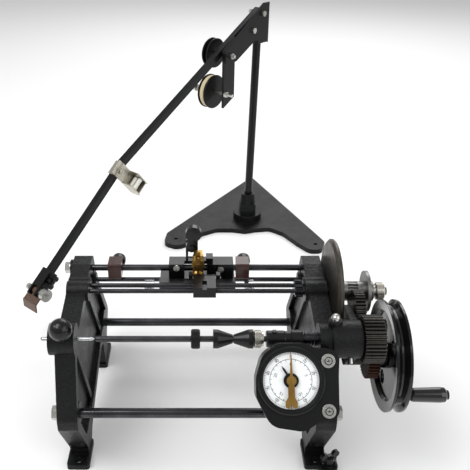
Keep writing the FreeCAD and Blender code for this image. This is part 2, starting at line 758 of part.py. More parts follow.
def lead_screws():
    """Two lead screws side by side, each with its gear; the front one reaches out to the right."""
    y, z = TRAVERSE
    thin = size("screwRadius")
    thick = thin + 2.0
    module = size("screwGearModule")
    gear_start, gear_end = INNER - 13.0, INNER - 5.0
    front = cylinder(V(-OUTER + 5.0, 0, 0), V(1, 0, 0), thin, OUTER + INNER - 19.0)
    front = front.fuse([cylinder(V(INNER - 14.0, 0, 0), V(1, 0, 0), thick, 200.0 - INNER + 14.0),
                        gear_shape(SCREW_TEETH, module, gear_start, gear_end, 0.0, 0.0)])
    feature("front_lead_screw", front.removeSplitter(), place(0, y, z))
    turn = mesh_turn(SCREW_TEETH, 0.0, SCREW_TEETH, 0.0)
    rear = cylinder(V(-OUTER + 5.0, 0, 0), V(1, 0, 0), thin, 2.0 * (OUTER - 5.0))
    rear = rear.fuse(gear_shape(SCREW_TEETH, module, gear_start, gear_end, turn, 0.0))
    feature("rear_lead_screw", rear.removeSplitter(), place(0, *SECOND_SCREW))


def traverse_group(idler_turn):
    """What turns with the front lead screw outside the casting."""
    at = place(0, *TRAVERSE)
    shaft = size("screwRadius") + 2.0
    disc = [(DISC[0], 52.5), (DISC[0] + 2.5, 55.4), (DISC[1] - 1.5, 55.4), (DISC[1], 54.0),
            (DISC[1], 16.0), (DISC[1] + 1.6, 14.0)]
    turned("friction_disc", disc, at, bore=shaft)
    line = angle_between(IDLER[0], IDLER[1], TRAVERSE[0], TRAVERSE[1])
    turn = mesh_turn(PINION_TEETH, line, IDLER_TEETH, idler_turn)
    sleeve = cylinder(V(149.8, 0, 0), V(1, 0, 0), 7.2, 22.0).fuse([
        cylinder(V(149.8, 0, 0), V(1, 0, 0), 10.4, 8.5),
        gear_shape(PINION_TEETH, size("gearModule"), IDLER_GEAR[0], IDLER_GEAR[1], turn, 0.0),
        cylinder(V(168.7, 0, 0), V(1, 0, 0), 10.4, 16.6),
    ])
    sleeve = sleeve.cut([cylinder(V(149, 0, 0), V(1, 0, 0), shaft, 40),
                         box(170.5, 183.5, -13.0, -6.0, 1.2, 5.0)])
    feature("traverse_sleeve", sleeve.removeSplitter(), at)
    small = cylinder(V(176.6, 0, 0), V(1, 0, 0), 21.7, 3.4)
    small = small.cut(cylinder(V(176, 0, 0), V(1, 0, 0), 10.4 + SLIDE, 5))
    feature("adjusting_disc", small, at)
    nut = [(185.6, 6.2), (188.0, 6.2), (188.0, 7.6), (189.2, 9.0), (196.5, 9.0), (197.6, 7.6)]
    turned("end_knurled_nut", nut, at, bore=shaft + FIT)


# Carriage between the stops

PUSH_ROD = (1.0, 164.5)
ROLLER_X = 1.2
ROLLER_Y = 8.5
ROLLERS = (("upper_roller", 187.6), ("lower_roller", 169.9))
NUT_PIN = (-1.0, 176.0)
KNOB_PIN = (-5.75, 201.5)


def carriage_body():
    """Sliding body on both guide rods, with its bearing blocks and its front plate."""
    along = V(1, 0, 0)
    shape = box(-41, 42, 15, 33, 152, 164.6).fuse([
        box(-41, 42, -3, 5, 158, 171),
        box(-41, 42, 4, 16, 156, 161.5),
        box(11, 40, 13, 31, 164, 184),
        box(-31, -14, 13, 31, 164, 184),
        box(-15, 12, 21, 31, 180, 184),
        box(10, 17.5, 16, 28, 183, 190),
        box(-9, -4.8, -3, 5, 170, 180),
        box(20.8, 25, -3, 5, 170, 180),
        knob_post(),
    ])
    holes = [
        cylinder(V(-60, *UPPER_GUIDE), along, size("upperGuideRadius") + SLIDE, 120),
        cylinder(V(-60, *LOWER_GUIDE), along, size("lowerGuideRadius") + SLIDE, 120),
        cylinder(V(-60, *PUSH_ROD), along, 1.5 + SLIDE, 120),
        cylinder(V(-10, *NUT_PIN), along, 1.2, 40),
        box(ROLLER_X - 3.4, ROLLER_X + 3.4, 3.2, 6.0, 166.0, 173.0),
    ]
    for x, face, z, radius in CLAMP_SCREWS:
        holes.append(cylinder(V(x, face + 1.9, z), V(0, -1, 0), 0.45 * radius, 2.0))
    feature("carriage_body", shape.cut(holes).removeSplitter())


# Clamp screws of the carriage: x, the face they stand on, z and the head's radius.
CLAMP_SCREWS = ((-22.5, 13.0, 180.0, 3.6), (26.0, 13.0, 178.0, 3.6), (-8.0, -3.0, 160.5, 2.6),
                (14.0, -3.0, 160.5, 2.6))


def carriage_screws():
    """Slotted screws that clamp the carriage's blocks, and the half nut's pin."""
    shapes = [cylinder(V(-9.8, *NUT_PIN), V(1, 0, 0), 1.2, 35.6)]
    for x, front, z, radius in CLAMP_SCREWS:
        head = cylinder(V(x, front, z), V(0, -1, 0), radius, 1.8)
        head = head.fuse(cylinder(V(x, front + 1.9, z), V(0, -1, 0), 0.45 * radius, 2.0))
        shapes.append(head.cut(box(x - 5, x + 5, front - 2.5, front - 1.1, z - 0.4, z + 0.4)))
    feature("carriage_screws", Part.makeCompound(shapes))


def roller_bracket():
    """Upright plate behind the two brass rollers, with their pins and the wire fork on top."""
    plate = box(-4.5, 7.0, 12.6, 16.0, 161.5, 195.5).fuse(box(-4.5, 7.0, 12.6, 15.0, 156, 165))
    plate = plate.cut(box(-6, 9, 4, 16, 150, 161.5)).cut(box(-6, 9, 15, 40, 150, 164.6))
    for _, z in ROLLERS:
        plate = plate.fuse(cylinder(V(ROLLER_X, 13.0, z), V(0, -1, 0), 1.5, 9.4))
        plate = plate.fuse(cylinder(V(ROLLER_X, 4.9, z), V(0, -1, 0), 2.6, 1.3))
    plate = plate.fuse([box(-3.6, 6.0, 11.0, 16.0, 195.5, 200.5),
                        box(-3.6, -1.2, 3.0, 11.5, 196.0, 200.5), box(3.6, 6.0, 3.0, 11.5, 196.0, 200.5)])
    feature("roller_bracket", plate.removeSplitter())
    turn = FreeCAD.Rotation(V(0, 0, 1), -90.0)
    profile = [(-3.2, 7.1), (-0.6, 5.6), (0.6, 5.6), (3.2, 7.1)]
    for label, z in ROLLERS:
        turned(label, profile, place(ROLLER_X, ROLLER_Y, z, turn), bore=1.5 + FIT)


def half_nut():
    """Flipping half nut over the two lead screws."""
    front = TRAVERSE[0] - size("screwRadius")
    back = SECOND_SCREW[0] + size("screwRadius")
    room = 1.2    # all round the screws, so that the lever can tilt
    top = TRAVERSE[1] + size("screwRadius") + room
    shape = box(-4, 20, front - 4.2, -3.8, top, 180.0)
    shape = shape.fuse([
        box(-4, 20, front - 4.2, front - room, 168.0, 180.0),
        box(-4, 20, back + room, back + 3.9, 168.0, 180.0),
        cylinder(V(-4, *NUT_PIN), V(1, 0, 0), 3.4, 24),
    ])
    shape = shape.cut(cylinder(V(-5, *NUT_PIN), V(1, 0, 0), 1.2 + FIT, 30))
    shape = shape.cut(box(5.5, 10.5, front - 6, front + 10, 177.6, 182.0))
    feature("half_nut", shape.removeSplitter())


def push_rod():
    """Reversing rod whose forked ends meet the stops."""
    shape = cylinder(V(-56, *PUSH_ROD), V(1, 0, 0), 1.5, 118)
    for low in (-57.0, 52.0):
        fork = box(low, low + 10, -5, 7, 158.5, 168.5)
        fork = fork.cut(box(low - 1, low + 11, 2.5, 5.0, 163, 170))
        shape = shape.fuse(fork)
        shape = shape.fuse(cylinder(V(low + 5, -4.5, 163.5), V(0, -1, 0), 2.6, 2.0))
    feature("push_rod", shape.removeSplitter())


def knob_post():
    """Two legged post of the lobed knob, with the pin on which the knob turns."""
    x, z = KNOB_PIN
    post = box(-12.4, 1.0, 28.4, 31.0, 184.0, 206.0)
    post = post.fuse([box(-12.4, -9.8, 22, 29, 184.0, 188.0), box(-1.6, 1.0, 22, 29, 184.0, 188.0),
                      cylinder(V(x, 30.0, z), V(0, -1, 0), 1.5, 10.6),
                      cylinder(V(x, 20.2, z), V(0, -1, 0), 2.3, 1.2)])
    return post.cut(box(-9.8, -1.6, 28, 32, 184.5, 194))


def lobed_knob():
    """Black lobed knob that turns on a pin square to the rods."""
    x, z = KNOB_PIN
    knob = cylinder(V(x, 20.6, z), V(0, 1, 0), 6.4, 7.4)
    knob = knob.fuse([cylinder(V(x + 2.0, 20.6, z + 15.5), V(0, 1, 0), 8.6, 7.4),
                      box(x - 4.6, x + 6.4, 20.6, 28.0, z, z + 14)])
    knob = knob.cut(cylinder(V(x, 20, z), V(0, 1, 0), 1.5 + FIT, 10))
    feature("lobed_knob", knob.removeSplitter())


def stops():
    """Two stop blocks on the upper guide rod, each with its clamp knob behind."""
    y, z = UPPER_GUIDE
    for side, low in (("left", -98.0), ("right", 43.0)):
        block = Part.makeBox(14.5, 20.5, 19.0, V(low, 11.5, 165.5))
        edges = [edge for edge in block.Edges if abs(edge.tangentAt(0).x) > 0.9]
        block = block.makeFillet(2.0, edges)
        block = block.cut([cylinder(V(low - 1, y, z), V(1, 0, 0), size("upperGuideRadius") + SLIDE, 17),
                           cylinder(V(low + 9.5, 24, z), V(0, 1, 0), 2.5, 10)])
        feature(side + "_stop", block.removeSplitter())
        turn = FreeCAD.Rotation(V(0, 0, 1), 90.0)
        knob = [(y + size("upperGuideRadius") + 0.15, 2.4), (32.4, 2.4), (32.4, 5.6), (34.4, 7.2),
                (42.4, 7.2), (43.6, 6.2)]
        turned(side + "_stop_knob", knob, place(low + 9.5, 0, z, turn))


# Turn counter in the row's frame, drawn in the dial's own frame

def counter_at(shape):
    """Shape moved from the dial's frame to its place."""
    moved = shape.copy()
    moved.Placement = COUNTER_PLACE.multiply(moved.Placement)
    return moved


def counter():
    """Housing with its bezel, dial, fasteners and hands."""
    depth = size("counterDepth")
    radius = size("counterRadius")
    body = new_body("counter_housing", COUNTER_PLACE)
    sketch = add_sketch(body, "housing_outline", "XY_Plane", -depth)
    outline = [(-radius, 3), (-radius, -15), (-18, -41), (12, -45.5), (26, -36), (43.2, -33.7),
               (43.2, 27.4), (24, 28.5), (14, 33), (-12, 33), (-26, 22)]
    add_rounded(sketch, outline, 16.0)
    pad(body, sketch, "Sizes.counterDepth", "housing_pad")
    sketch = add_sketch(body, "dial_recess", "XY_Plane", 0.0)
    add_circle(sketch, 0, 0, size("dialRadius") + 0.1)
    pocket(body, sketch, "dial_recess_cut", 4.0)
    sketch = add_sketch(body, "hand_shaft_hole", "XY_Plane", 0.0)
    add_circle(sketch, 0, 0, 2.0 + FIT)
    pocket(body, sketch, "hand_shaft_cut", 24.0)
    sketch = add_sketch(body, "bolt_holes", "XY_Plane", 0.0)
    for x, y in COUNTER_BOLTS:
        add_circle(sketch, x, y, 2.6)
    pocket(body, sketch, "bolt_holes_cut")
    sketch = add_sketch(body, "bezel_profile", "XZ_Plane")
    inner = size("dialRadius") - 0.3
    outer = radius - 0.9
    add_polygon(sketch, [(inner, 0.0), (outer, 0.0), (outer, 3.0), (outer - 1.2, 4.2), (inner + 1.8, 4.2),
                         (inner, 2.4)])
    bezel = body.newObject("PartDesign::Revolution", "bezel_turn")
    bezel.Profile = sketch
    bezel.ReferenceAxis = (sketch, ["V_Axis"])
    bezel.Angle = 360.0
    dial = cylinder(V(0, 0, -2.0), V(0, 0, 1), size("dialRadius"), 1.6).cut(cylinder(V(0, 0, -3), V(0, 0, 1), 2.4, 4))
    feature("counter_dial", counter_at(dial))
    shapes = []
    for x, y in COUNTER_BOLTS:
        washer = cylinder(V(x, y, 0), V(0, 0, 1), 6.3, 1.3)
        head = cylinder(V(x, y, 1.3), V(0, 0, 1), 3.6, 1.8)
        shank = cylinder(V(x, y, 1.3), V(0, 0, -1), 2.5, depth + 10.0)
        bolt = washer.fuse([head, shank]).cut(box(x - 4, x + 4, y - 0.5, y + 0.5, 2.2, 4))
        shapes.append(counter_at(bolt.removeSplitter()))
    feature("counter_bolts", Part.makeCompound(shapes))
    counter_hands()


def flat_plate(points, low, high):
    """Plate parallel to the dial."""
    vectors = [V(x, y, low) for x, y in points]
    return Part.Face(Part.makePolygon(vectors + [vectors[0]])).extrude(V(0, 0, high - low))


def counter_hands():
    """Long hand with its forked tail on the centre shaft, short hand on a sleeve, and the hub."""
    half = [(1.6, 0), (3.0, -7), (3.0, -14.5), (5.4, -18.5), (5.4, -23.0), (3.0, -24.8), (0.0, -21.5)]
    outline = [(0.0, 24.3), (0.4, 23.0)] + half + [(-x, y) for x, y in reversed(half[:-1])] + [(-0.4, 23.0)]
    long_hand = flat_plate(outline, 2.6, 3.2)
    long_hand = long_hand.fuse([cylinder(V(0, 0, 2.6), V(0, 0, 1), 4.4, 1.4),
                                cylinder(V(0, 0, -10), V(0, 0, 1), 1.2, 12.7)])
    feature("long_hand", counter_at(long_hand.removeSplitter()))
    short_hand = flat_plate([(-1.1, 0), (-0.9, 12), (0, 16.2), (0.9, 12), (1.1, 0), (0, -5)], 1.2, 1.8)
    short_hand.rotate(V(0, 0, 0), V(0, 0, 1), 33.0)
    short_hand = short_hand.fuse([cylinder(V(0, 0, 0.2), V(0, 0, 1), 6.8, 1.8),
                                  cylinder(V(0, 0, -11), V(0, 0, 1), 2.0, 11.4)])
    short_hand = short_hand.cut(cylinder(V(0, 0, -12), V(0, 0, 1), 1.2 + FIT, 20))
    feature("short_hand", counter_at(short_hand.removeSplitter()))


def small_fittings():
    """Oil cap of the spindle barrel and the wing knob of the right foot."""
    y, z = SPINDLE
    top = z + BARREL_RADIUS + 4.0
    cap = cylinder(V(132, y, top), V(0, 0, 1), 4.4, 2.0)
    cap = cap.fuse(Part.makeSphere(4.4, V(132, y, top + 2.0)).common(box(120, 145, y - 9, y + 9, top, top + 9)))
    feature("oil_cap", cap.removeSplitter())
    foot_knob()


def foot_knob():
    """Black wing knob with its stud, in the ear of the right front foot."""
    x, y = FOOT_KNOB
    seat = size("padThick") + 0.1
    knob = cylinder(V(0, 0, 0.5), V(0, 0, 1), 2.5, 12.0)
    knob = knob.fuse([cylinder(V(0, 0, seat), V(0, 0, 1), 8.2, 1.8), Part.makeCone(5.8, 4.8, 9.0, V(0, 0, seat)),
                      cylinder(V(6.8, -1.9, seat + 11.6), V(0, 1, 0), 4.2, 3.8),
                      cylinder(V(-6.8, -1.9, seat + 11.6), V(0, 1, 0), 4.2, 3.8),
                      box(-8.0, 8.0, -1.9, 1.9, seat + 4.0, seat + 12.0)])
    turn = FreeCAD.Rotation(V(0, 0, 1), 25.0)
    feature("foot_wing_knob", knob.removeSplitter(), place(x, y, 0, turn))


# Wire tension stand. Its head is drawn in a frame of its own: x runs level along the arm, y is
# square to the arm's plane, towards the winder's right, and z is the height above the bench.

ARM_HEADING = -131.0
POST_TOP = (97.0, 483.0)
HEAD = place(POST_TOP[0], POST_TOP[1], 0.0, FreeCAD.Rotation(V(0, 0, 1), ARM_HEADING))
ARM_START = V(-1.0, -2.0, 371.7)
ARM_BEND = V(303.5, -2.0, 207.0)
ARM_END = V(463.6, -2.0, 77.4)
ARM_PIVOT = (7.0, 368.5)
ARM_STOP = (31.0, 346.3)    # bolt on which the arm rests
CLAMP_SCREW = 339.0    # height of the screw that holds the clamp on the post
UPPER_PULLEY = (84.9, 316.6)
TENSION_WHEEL = (93.7, 258.8)
PULLEY_OUT = -21.0    # across, from the post's axis to the middle of the upper pulley
WHEEL_OUT = -17.0     # and to the middle of the tension wheel
ACROSS = V(0, 1, 0)


def in_head(label, shape):
    """Sub-part drawn in the head's frame."""
    return feature(label, shape, HEAD.multiply(shape.Placement))


def stand_foot():
    """Cast three cornered foot with its boss and the socket of the post."""
    x, y = size("standX"), size("standY")
    body = new_body("stand_foot")
    sketch = add_sketch(body, "stand_outline", "XY_Plane")
    outline = [(114, 661), (108, 661), (-52, 421), (-56, 388), (-34, 374), (-14, 386), (8, 422), (34, 437),
               (62, 437), (84, 431), (102, 437), (128, 441), (150, 422), (170, 386), (187, 361), (207, 361),
               (217, 388), (211, 405)]
    add_rounded(sketch, outline, 14.0)
    pad(body, sketch, "Sizes.standPlate", "stand_outline_pad")
    sketch = add_sketch(body, "stand_boss", "XY_Plane")
    add_circle(sketch, x, y, 25.0)
    pad(body, sketch, 20.0, "stand_boss_pad")
    sketch = add_sketch(body, "stand_holes", "XY_Plane")
    for hole_x, hole_y in STAND_HOLES:
        add_circle(sketch, hole_x, hole_y, 3.2)
    pocket(body, sketch, "stand_holes_cut")
    sketch = add_sketch(body, "socket_block", "XY_Plane", 20.0)
    add_rectangle(sketch, x - 13.5, y - 13.5, x + 13.5, y + 13.5)
    pad(body, sketch, 18.0, "socket_block_pad")
    sketch = add_sketch(body, "socket_collar", "XY_Plane", 38.0)
    add_circle(sketch, x, y, 13.0)
    pad(body, sketch, 19.0, "socket_collar_pad")
    add_slanted_hole(body, "post_hole", V(x, y, 20.0), post_direction(), size("postRadius"), 60.0)


STAND_HOLES = ((-36.0, 400.0), (200.0, 381.0))


def post_direction():
    """Direction of the post, which leans a little to the right as in the photo."""
    return V(POST_TOP[0] - size("standX"), 0, 363.0).normalize()


def stand_post():
    """Round post."""
    along = post_direction()
    start = V(size("standX"), size("standY"), 20.0) + along
    feature("stand_post", cylinder(start, along, size("postRadius"), size("postLength") - 14.0))


def head_plate(points, low, high):
    """Plate in the arm's plane from (x, z) points, between two distances across."""
    vectors = [V(x, low, z) for x, z in points]
    return Part.Face(Part.makePolygon(vectors + [vectors[0]])).extrude(V(0, high - low, 0))


def hexagon_across(x, z, low, high, flats):
    """Hexagonal prism across the arm's plane."""
    radius = flats / math.sqrt(3.0)
    points = []
    for step in range(6):
        angle = math.radians(60.0 * step + 12.0)
        points.append((x + radius * math.cos(angle), z + radius * math.sin(angle)))
    return head_plate(points, low, high)


def stand_head():
    """Clamp on the post, gusset, pulley leg and their bolts."""
    post = cylinder(V(size("standX"), size("standY"), 20.0), post_direction(),
                    size("postRadius"), size("postLength"))
    post.Placement = HEAD.inverse().multiply(post.Placement)
    clamp = box(-12, 12, -11, 10.4, 322, 355).cut(post)
    clamp = clamp.cut(box(-1.5, 1.5, -12, -5, 316, 360))
    clamp = clamp.cut(cylinder(V(-13, 0, CLAMP_SCREW), V(1, 0, 0), 2.5, 8))
    gusset = head_plate([(-10, 322), (-10, 384), (4, 384), (58, 350), (97, 326), (97, 306), (71, 306), (24, 330)],
                        10.4, 13.4)
    for x, z in (ARM_PIVOT, UPPER_PULLEY, ARM_STOP):
        gusset = gusset.cut(cylinder(V(x, 10, z), ACROSS, 2.5, 4))
    leg = head_plate([(71, 250), (97, 237), (97, 326), (71, 342)], 6.4, 10.4)
    for x, z in (UPPER_PULLEY, TENSION_WHEEL):
        leg = leg.cut(cylinder(V(x, 5, z), ACROSS, 2.5, 7))
    in_head("head_bracket", clamp.fuse([gusset, leg]).removeSplitter())


def head_bolts():
    """Screw of the clamp, arm's stop and pivot, and the studs of both wheels, with their nuts."""
    screw = cylinder(V(-14.0, 0, CLAMP_SCREW), V(1, 0, 0), 2.5, 6.6)
    bolts = [screw.fuse(x_axis_hexagon(-16.0, -12.0, 0, CLAMP_SCREW, 8.0)).removeSplitter()]
    x, z = ARM_STOP
    stop = cylinder(V(x, -9.6, z), ACROSS, 2.5, 25.0)
    bolts.append(stop.fuse([hexagon_across(x, z, 13.4, 17.4, 8.0),
                            hexagon_across(x, z, -11.0, -6.9, 8.0)]).removeSplitter())
    x, z = UPPER_PULLEY
    stud = cylinder(V(x, 21.0, z), V(0, -1, 0), 2.5, 50.0)
    bolts.append(stud.fuse([hexagon_across(x, z, 13.4, 17.4, 8.0),
                            hexagon_across(x, z, -31.0, -27.4, 8.0)]).removeSplitter())
    x, z = TENSION_WHEEL
    stud = cylinder(V(x, 25.0, z), V(0, -1, 0), 2.5, 89.0)
    bolts.append(stud.fuse([hexagon_across(x, z, 10.5, 14.5, 8.0), hexagon_across(x, z, -52.2, -47.8, 8.0),
                            hexagon_across(x, z, -57.2, -52.8, 8.0),
                            cylinder(V(x, -47.8, z), ACROSS, 5.6, 1.2)]).removeSplitter())
    x, z = ARM_PIVOT
    bolt = cylinder(V(x, -9.6, z), ACROSS, 2.5, 25.6)
    bolts.append(bolt.fuse([hexagon_across(x, z, -11.0, -6.9, 8.0),
                            hexagon_across(x, z, 13.4, 17.4, 8.0)]).removeSplitter())
    in_head("head_bolts", Part.makeCompound(bolts))


def pulleys():
    """Upper guide pulley, and the tension wheel with its felt rim."""
    x, z = UPPER_PULLEY
    turn = FreeCAD.Rotation(V(0, 0, 1), ARM_HEADING + 90.0)
    centre = HEAD.multVec(V(x, PULLEY_OUT, z))
    profile = [(-5.5, 21.6), (-4.6, 22.3), (-3.4, 22.3), (-1.2, 15.5), (1.2, 15.5), (3.4, 22.3),
               (4.6, 22.3), (5.5, 21.6)]
    turned("upper_pulley", profile, place(centre.x, centre.y, centre.z, turn), bore=2.5 + FIT)
    x, z = TENSION_WHEEL
    centre = HEAD.multVec(V(x, WHEEL_OUT, z))
    at = place(centre.x, centre.y, centre.z, turn)
    flange = [(-7.0, 25.0), (-6.2, 26.0), (-5.0, 26.0), (-4.0, 22.0), (4.0, 22.0), (5.0, 26.0),
              (6.2, 26.0), (7.0, 25.0)]
    turned("tension_wheel", flange, at, bore=2.5 + FIT)
    turned("felt_rim", [(-3.8, 22.0), (-3.8, 23.8), (-2.6, 24.6), (2.6, 24.6), (3.8, 23.8), (3.8, 22.0)],
           at, bore=22.0)


def arc_from(start, tangent, end):
    """Arc that leaves a point along a tangent and ends at another point."""
    chord = end - start
    length = chord.Length
    chord.normalize()
    bulge = tangent - chord * tangent.dot(chord)
    bulge.normalize()
    rise = length / 2.0 * math.tan(tangent.getAngle(chord) / 2.0)
    return Part.Arc(start, start + chord * (length / 2.0) + bulge * rise, end).toShape()


def biarc(start, start_tangent, end, end_tangent):
    """Two arcs that join two points and share a tangent where they meet."""
    gap = end - start
    both = start_tangent + end_tangent
    factor = 2.0 * (1.0 - start_tangent.dot(end_tangent))
    reach = (math.sqrt(gap.dot(both) ** 2 + factor * gap.dot(gap)) - gap.dot(both)) / factor
    middle = (start + start_tangent * reach + end - end_tangent * reach) * 0.5
    first = arc_from(start, start_tangent, middle)
    second = arc_from(end, end_tangent * -1.0, middle)
    return [first, second]


def coil(radius, wire, pitch, turns):
    """Open coil of round wire about Z, one unbroken tube."""
    slope = pitch / (2.0 * math.pi)
    points, tangents, edges = [], [], []
    for step in range(4 * turns + 1):
        angle = step * math.pi / 2.0
        points.append(V(radius * math.cos(angle), radius * math.sin(angle), slope * angle))
        tangents.append(V(-radius * math.sin(angle), radius * math.cos(angle), slope).normalize())
    for index in range(4 * turns):
        edges += biarc(points[index], tangents[index], points[index + 1], tangents[index + 1])
    path = Part.Wire(Part.__sortEdges__(edges))
    section = Part.Wire([Part.makeCircle(wire / 2.0, points[0], tangents[0])])
    print("coil gap to itself %.2f mm" % least_gap(path, wire, 2.0 * math.pi * radius))
    return path.makePipeShell([section], True, False)


def least_gap(path, wire, round_length):
    """Least distance between the surfaces of neighbouring turns, measured on points."""
    spots = path.discretize(Distance=0.8)
    skip = int(0.5 * round_length / 0.8)
    nearest = 1000.0
    for index, spot in enumerate(spots):
        for other in spots[index + skip:]:
            nearest = min(nearest, spot.distanceToPoint(other))
    return nearest - wire


def springs():
    """Tension spring on the tension wheel's stud and the pivot spring of the arm."""
    turn = FreeCAD.Rotation(V(1, 0, 0), 90.0)
    x, z = TENSION_WHEEL
    tension = coil(4.0, 0.8, 2.95, 7)
    tension.Placement = place(x, WHEEL_OUT - 7.8, z, turn)
    x, z = ARM_PIVOT
    pivot = coil(5.2, 1.0, 1.9, 3)
    pivot.Placement = place(x, 9.5, z, turn)
    in_head("head_springs", Part.makeCompound([tension, pivot]))


def arm_frame(point, direction):
    """Placement whose x follows a stretch of the arm and whose y is square to its plane."""
    angle = math.degrees(math.atan2(-direction.z, direction.x))
    return FreeCAD.Placement(point, FreeCAD.Rotation(V(0, 1, 0), angle))


def dancer_arm():
    """Square bar with its bend, the clip and the end pieces."""
    half = size("armSquare") / 2.0
    first = (ARM_BEND - ARM_START).normalize()
    second = (ARM_END - ARM_BEND).normalize()

    def side(direction):
        return V(-direction.z, 0, direction.x) * half

    bisector = (side(first) + side(second)).normalize()
    mitre = bisector * (half / math.cos(first.getAngle(second) / 2.0))
    corners = [ARM_START + side(first), ARM_BEND + mitre, ARM_END + side(second),
               ARM_END - side(second), ARM_BEND - mitre, ARM_START - side(first)]
    bar = head_plate([(corner.x, corner.z) for corner in corners], ARM_START.y - half, ARM_START.y + half)
    x, z = ARM_PIVOT
    bar = bar.cut(cylinder(V(x, -15, z), ACROSS, 2.5 + FIT, 30))
    in_head("dancer_arm", bar)
    bend_clip()
    arm_end(second)


CLIP_ROLLERS = (12.6, 20.2)
CLIP_FROM, CLIP_TO = 3.0, 24.0    # along the arm, from its bend


def bend_clip():
    """Nickel clip under the bend with its roller frame."""
    at = arm_frame(ARM_BEND, (ARM_END - ARM_BEND).normalize())
    low, high = CLIP_FROM, CLIP_TO
    middle = (low + high) / 2.0
    half = size("armSquare") / 2.0
    wall = half + 1.6
    plate = box(low, high, half, wall, -9.5, 12.0)
    plate = plate.fuse([box(low, high, -wall, wall, half, wall), box(low, high, -wall, -half, -7.0, wall)])
    frame = box(low, high, wall, wall + 1.6, -40, 4.0)
    frame = frame.fuse([box(low, low + 1.6, wall, 25, -40, -14), box(high - 1.6, high, wall, 25, -40, -14),
                        box(low, high, wall, 21, -41.6, -40)])
    screw = cylinder(V(middle, half + 0.1, 0), ACROSS, 4.2, 5.3)
    screw = screw.cut(box(middle - 5, middle + 5, half + 4.6, half + 6.0, -0.5, 0.5))
    clip = plate.fuse([frame, screw])
    for across in CLIP_ROLLERS:
        clip = clip.fuse(cylinder(V(low + 0.8, across, -28.0), V(1, 0, 0), 1.0, high - low - 1.6))
    clip = clip.removeSplitter()
    clip.Placement = at
    in_head("arm_clip", clip)
    for label, across in zip(("back_clip_roller", "front_clip_roller"), CLIP_ROLLERS):
        base = HEAD.multiply(at).multiply(place(middle, across, -28.0))
        half = (high - low) / 2.0 - 2.2
        turned(label, [(-half, 3.3), (-0.4, 2.9), (0.4, 2.9), (half, 3.3)], base, bore=1.0 + FIT)


END_BOLT = 5.0    # from the arm's end to the cross bolt


def arm_end(direction):
    """End bracket with its cross bolt, nuts, wing knob and the folded wire guide."""
    half = size("armSquare") / 2.0
    outer = half + 3.2
    bolt_line = V(END_BOLT, 0, 0)
    at = arm_frame(ARM_END, direction)
    sleeve = box(-26, 13, -outer, outer, -outer, outer).cut(box(-27, 0, -half, half, -half, half))
    sleeve = sleeve.cut(box(0, 14, -half - 0.4, half + 0.4, -outer - 1, outer + 1))
    sleeve = sleeve.cut([cylinder(V(-14, half - 1, 0), ACROSS, 2.5, 6),
                         cylinder(bolt_line - ACROSS * 20, ACROSS, 2.5, 40)])
    bolt = cylinder(bolt_line - ACROSS * 20, ACROSS, 2.5, 44.0)
    bolt = bolt.fuse([hexagon_across(END_BOLT, 0, outer, outer + 5.0, 11.0),
                      cylinder(bolt_line + ACROSS * (outer + 6.0), ACROSS, 8.5, 7.0),
                      hexagon_across(END_BOLT, 0, -outer - 4.0, -outer, 8.0),
                      cylinder(bolt_line - ACROSS * 18.5, ACROSS, 4.4, 5.0)])
    end = Part.makeCompound([sleeve, wire_tongue(), bolt.removeSplitter()])
    end.Placement = at
    in_head("end_bracket", end)
    wing = cylinder(V(-14, half + 0.1, 0), ACROSS, 2.4, 6.0)
    wing = wing.fuse([cylinder(V(-14, outer + 0.2, 0), ACROSS, 4.8, 7.0),
                      box(-20, -8, outer + 4.0, outer + 9.0, -2.2, 2.2),
                      cylinder(V(-19.8, outer + 8.0, -2.2), V(0, 0, 1), 4.0, 4.4),
                      cylinder(V(-8.2, outer + 8.0, -2.2), V(0, 0, 1), 4.0, 4.4)])
    wing.Placement = at
    in_head("arm_wing_knob", wing.removeSplitter())


def wire_tongue():
    """Folded plate that guides the wire, with its upright lip and the eye that the cross bolt holds."""
    half = size("armSquare") / 2.0
    lip_at = 22.0
    tongue = box(END_BOLT + 2.0, 14.0, -half, half, -1.0, 1.0)
    tongue = tongue.fuse([cylinder(V(END_BOLT, -half, 0), ACROSS, 4.6, 2.0 * half),
                          box(12.0, lip_at + 0.8, -13.0, 13.0, -1.0, 1.0)])
    at = arm_frame(ARM_END, (ARM_END - ARM_BEND).normalize())
    corner = at.multVec(V(lip_at, 0, 0))
    lip = box(corner.x, corner.x + 1.6, corner.y - 13.5, corner.y + 13.5, corner.z - 11.5, corner.z + 0.8)
    lip.Placement = at.inverse()
    tongue = tongue.fuse(lip)
    return tongue.cut(cylinder(V(END_BOLT, -20, 0), ACROSS, 2.5, 40)).removeSplitter()


# Build, test and export

def build():
    """Every sub-part of the winder and of its stand."""
    left_frame()
    right_frame()
    rods()
    frame_bolts()
    tailstock()
    spindle_line()
    winding_rod_group()
    handwheel_group()
    lead_screws()
    traverse_group(idler_group())
    carriage_body()
    carriage_screws()
    roller_bracket()
    half_nut()
    push_rod()
    lobed_knob()
    stops()
    counter()
    small_fittings()
    stand_foot()
    stand_post()
    stand_head()
    head_bolts()
    pulleys()
    springs()
    dancer_arm()
    doc.recompute()


def top_objects():
    """Bodies and features that are sub-parts, each with its own node."""
    found = []
    for item in doc.Objects:
        if item.TypeId in ("PartDesign::Body", "Part::Feature"):
            found.append(item)
    return found


def export_all():
    """Test each object and write one STEP file for each sub-part."""
    for item in doc.Objects:
        if "Invalid" in item.State or "Error" in item.State:
            raise RuntimeError("object %s has state %s" % (item.Name, item.State))
    for item in top_objects():
        shape = item.Shape
        if shape.isNull() or not shape.isValid():
            raise RuntimeError("bad shape in %s" % item.Label)
        shape.exportStep("parts/%s.step" % item.Label)
    print("exported %d sub-parts" % len(top_objects()))


build()
export_all()
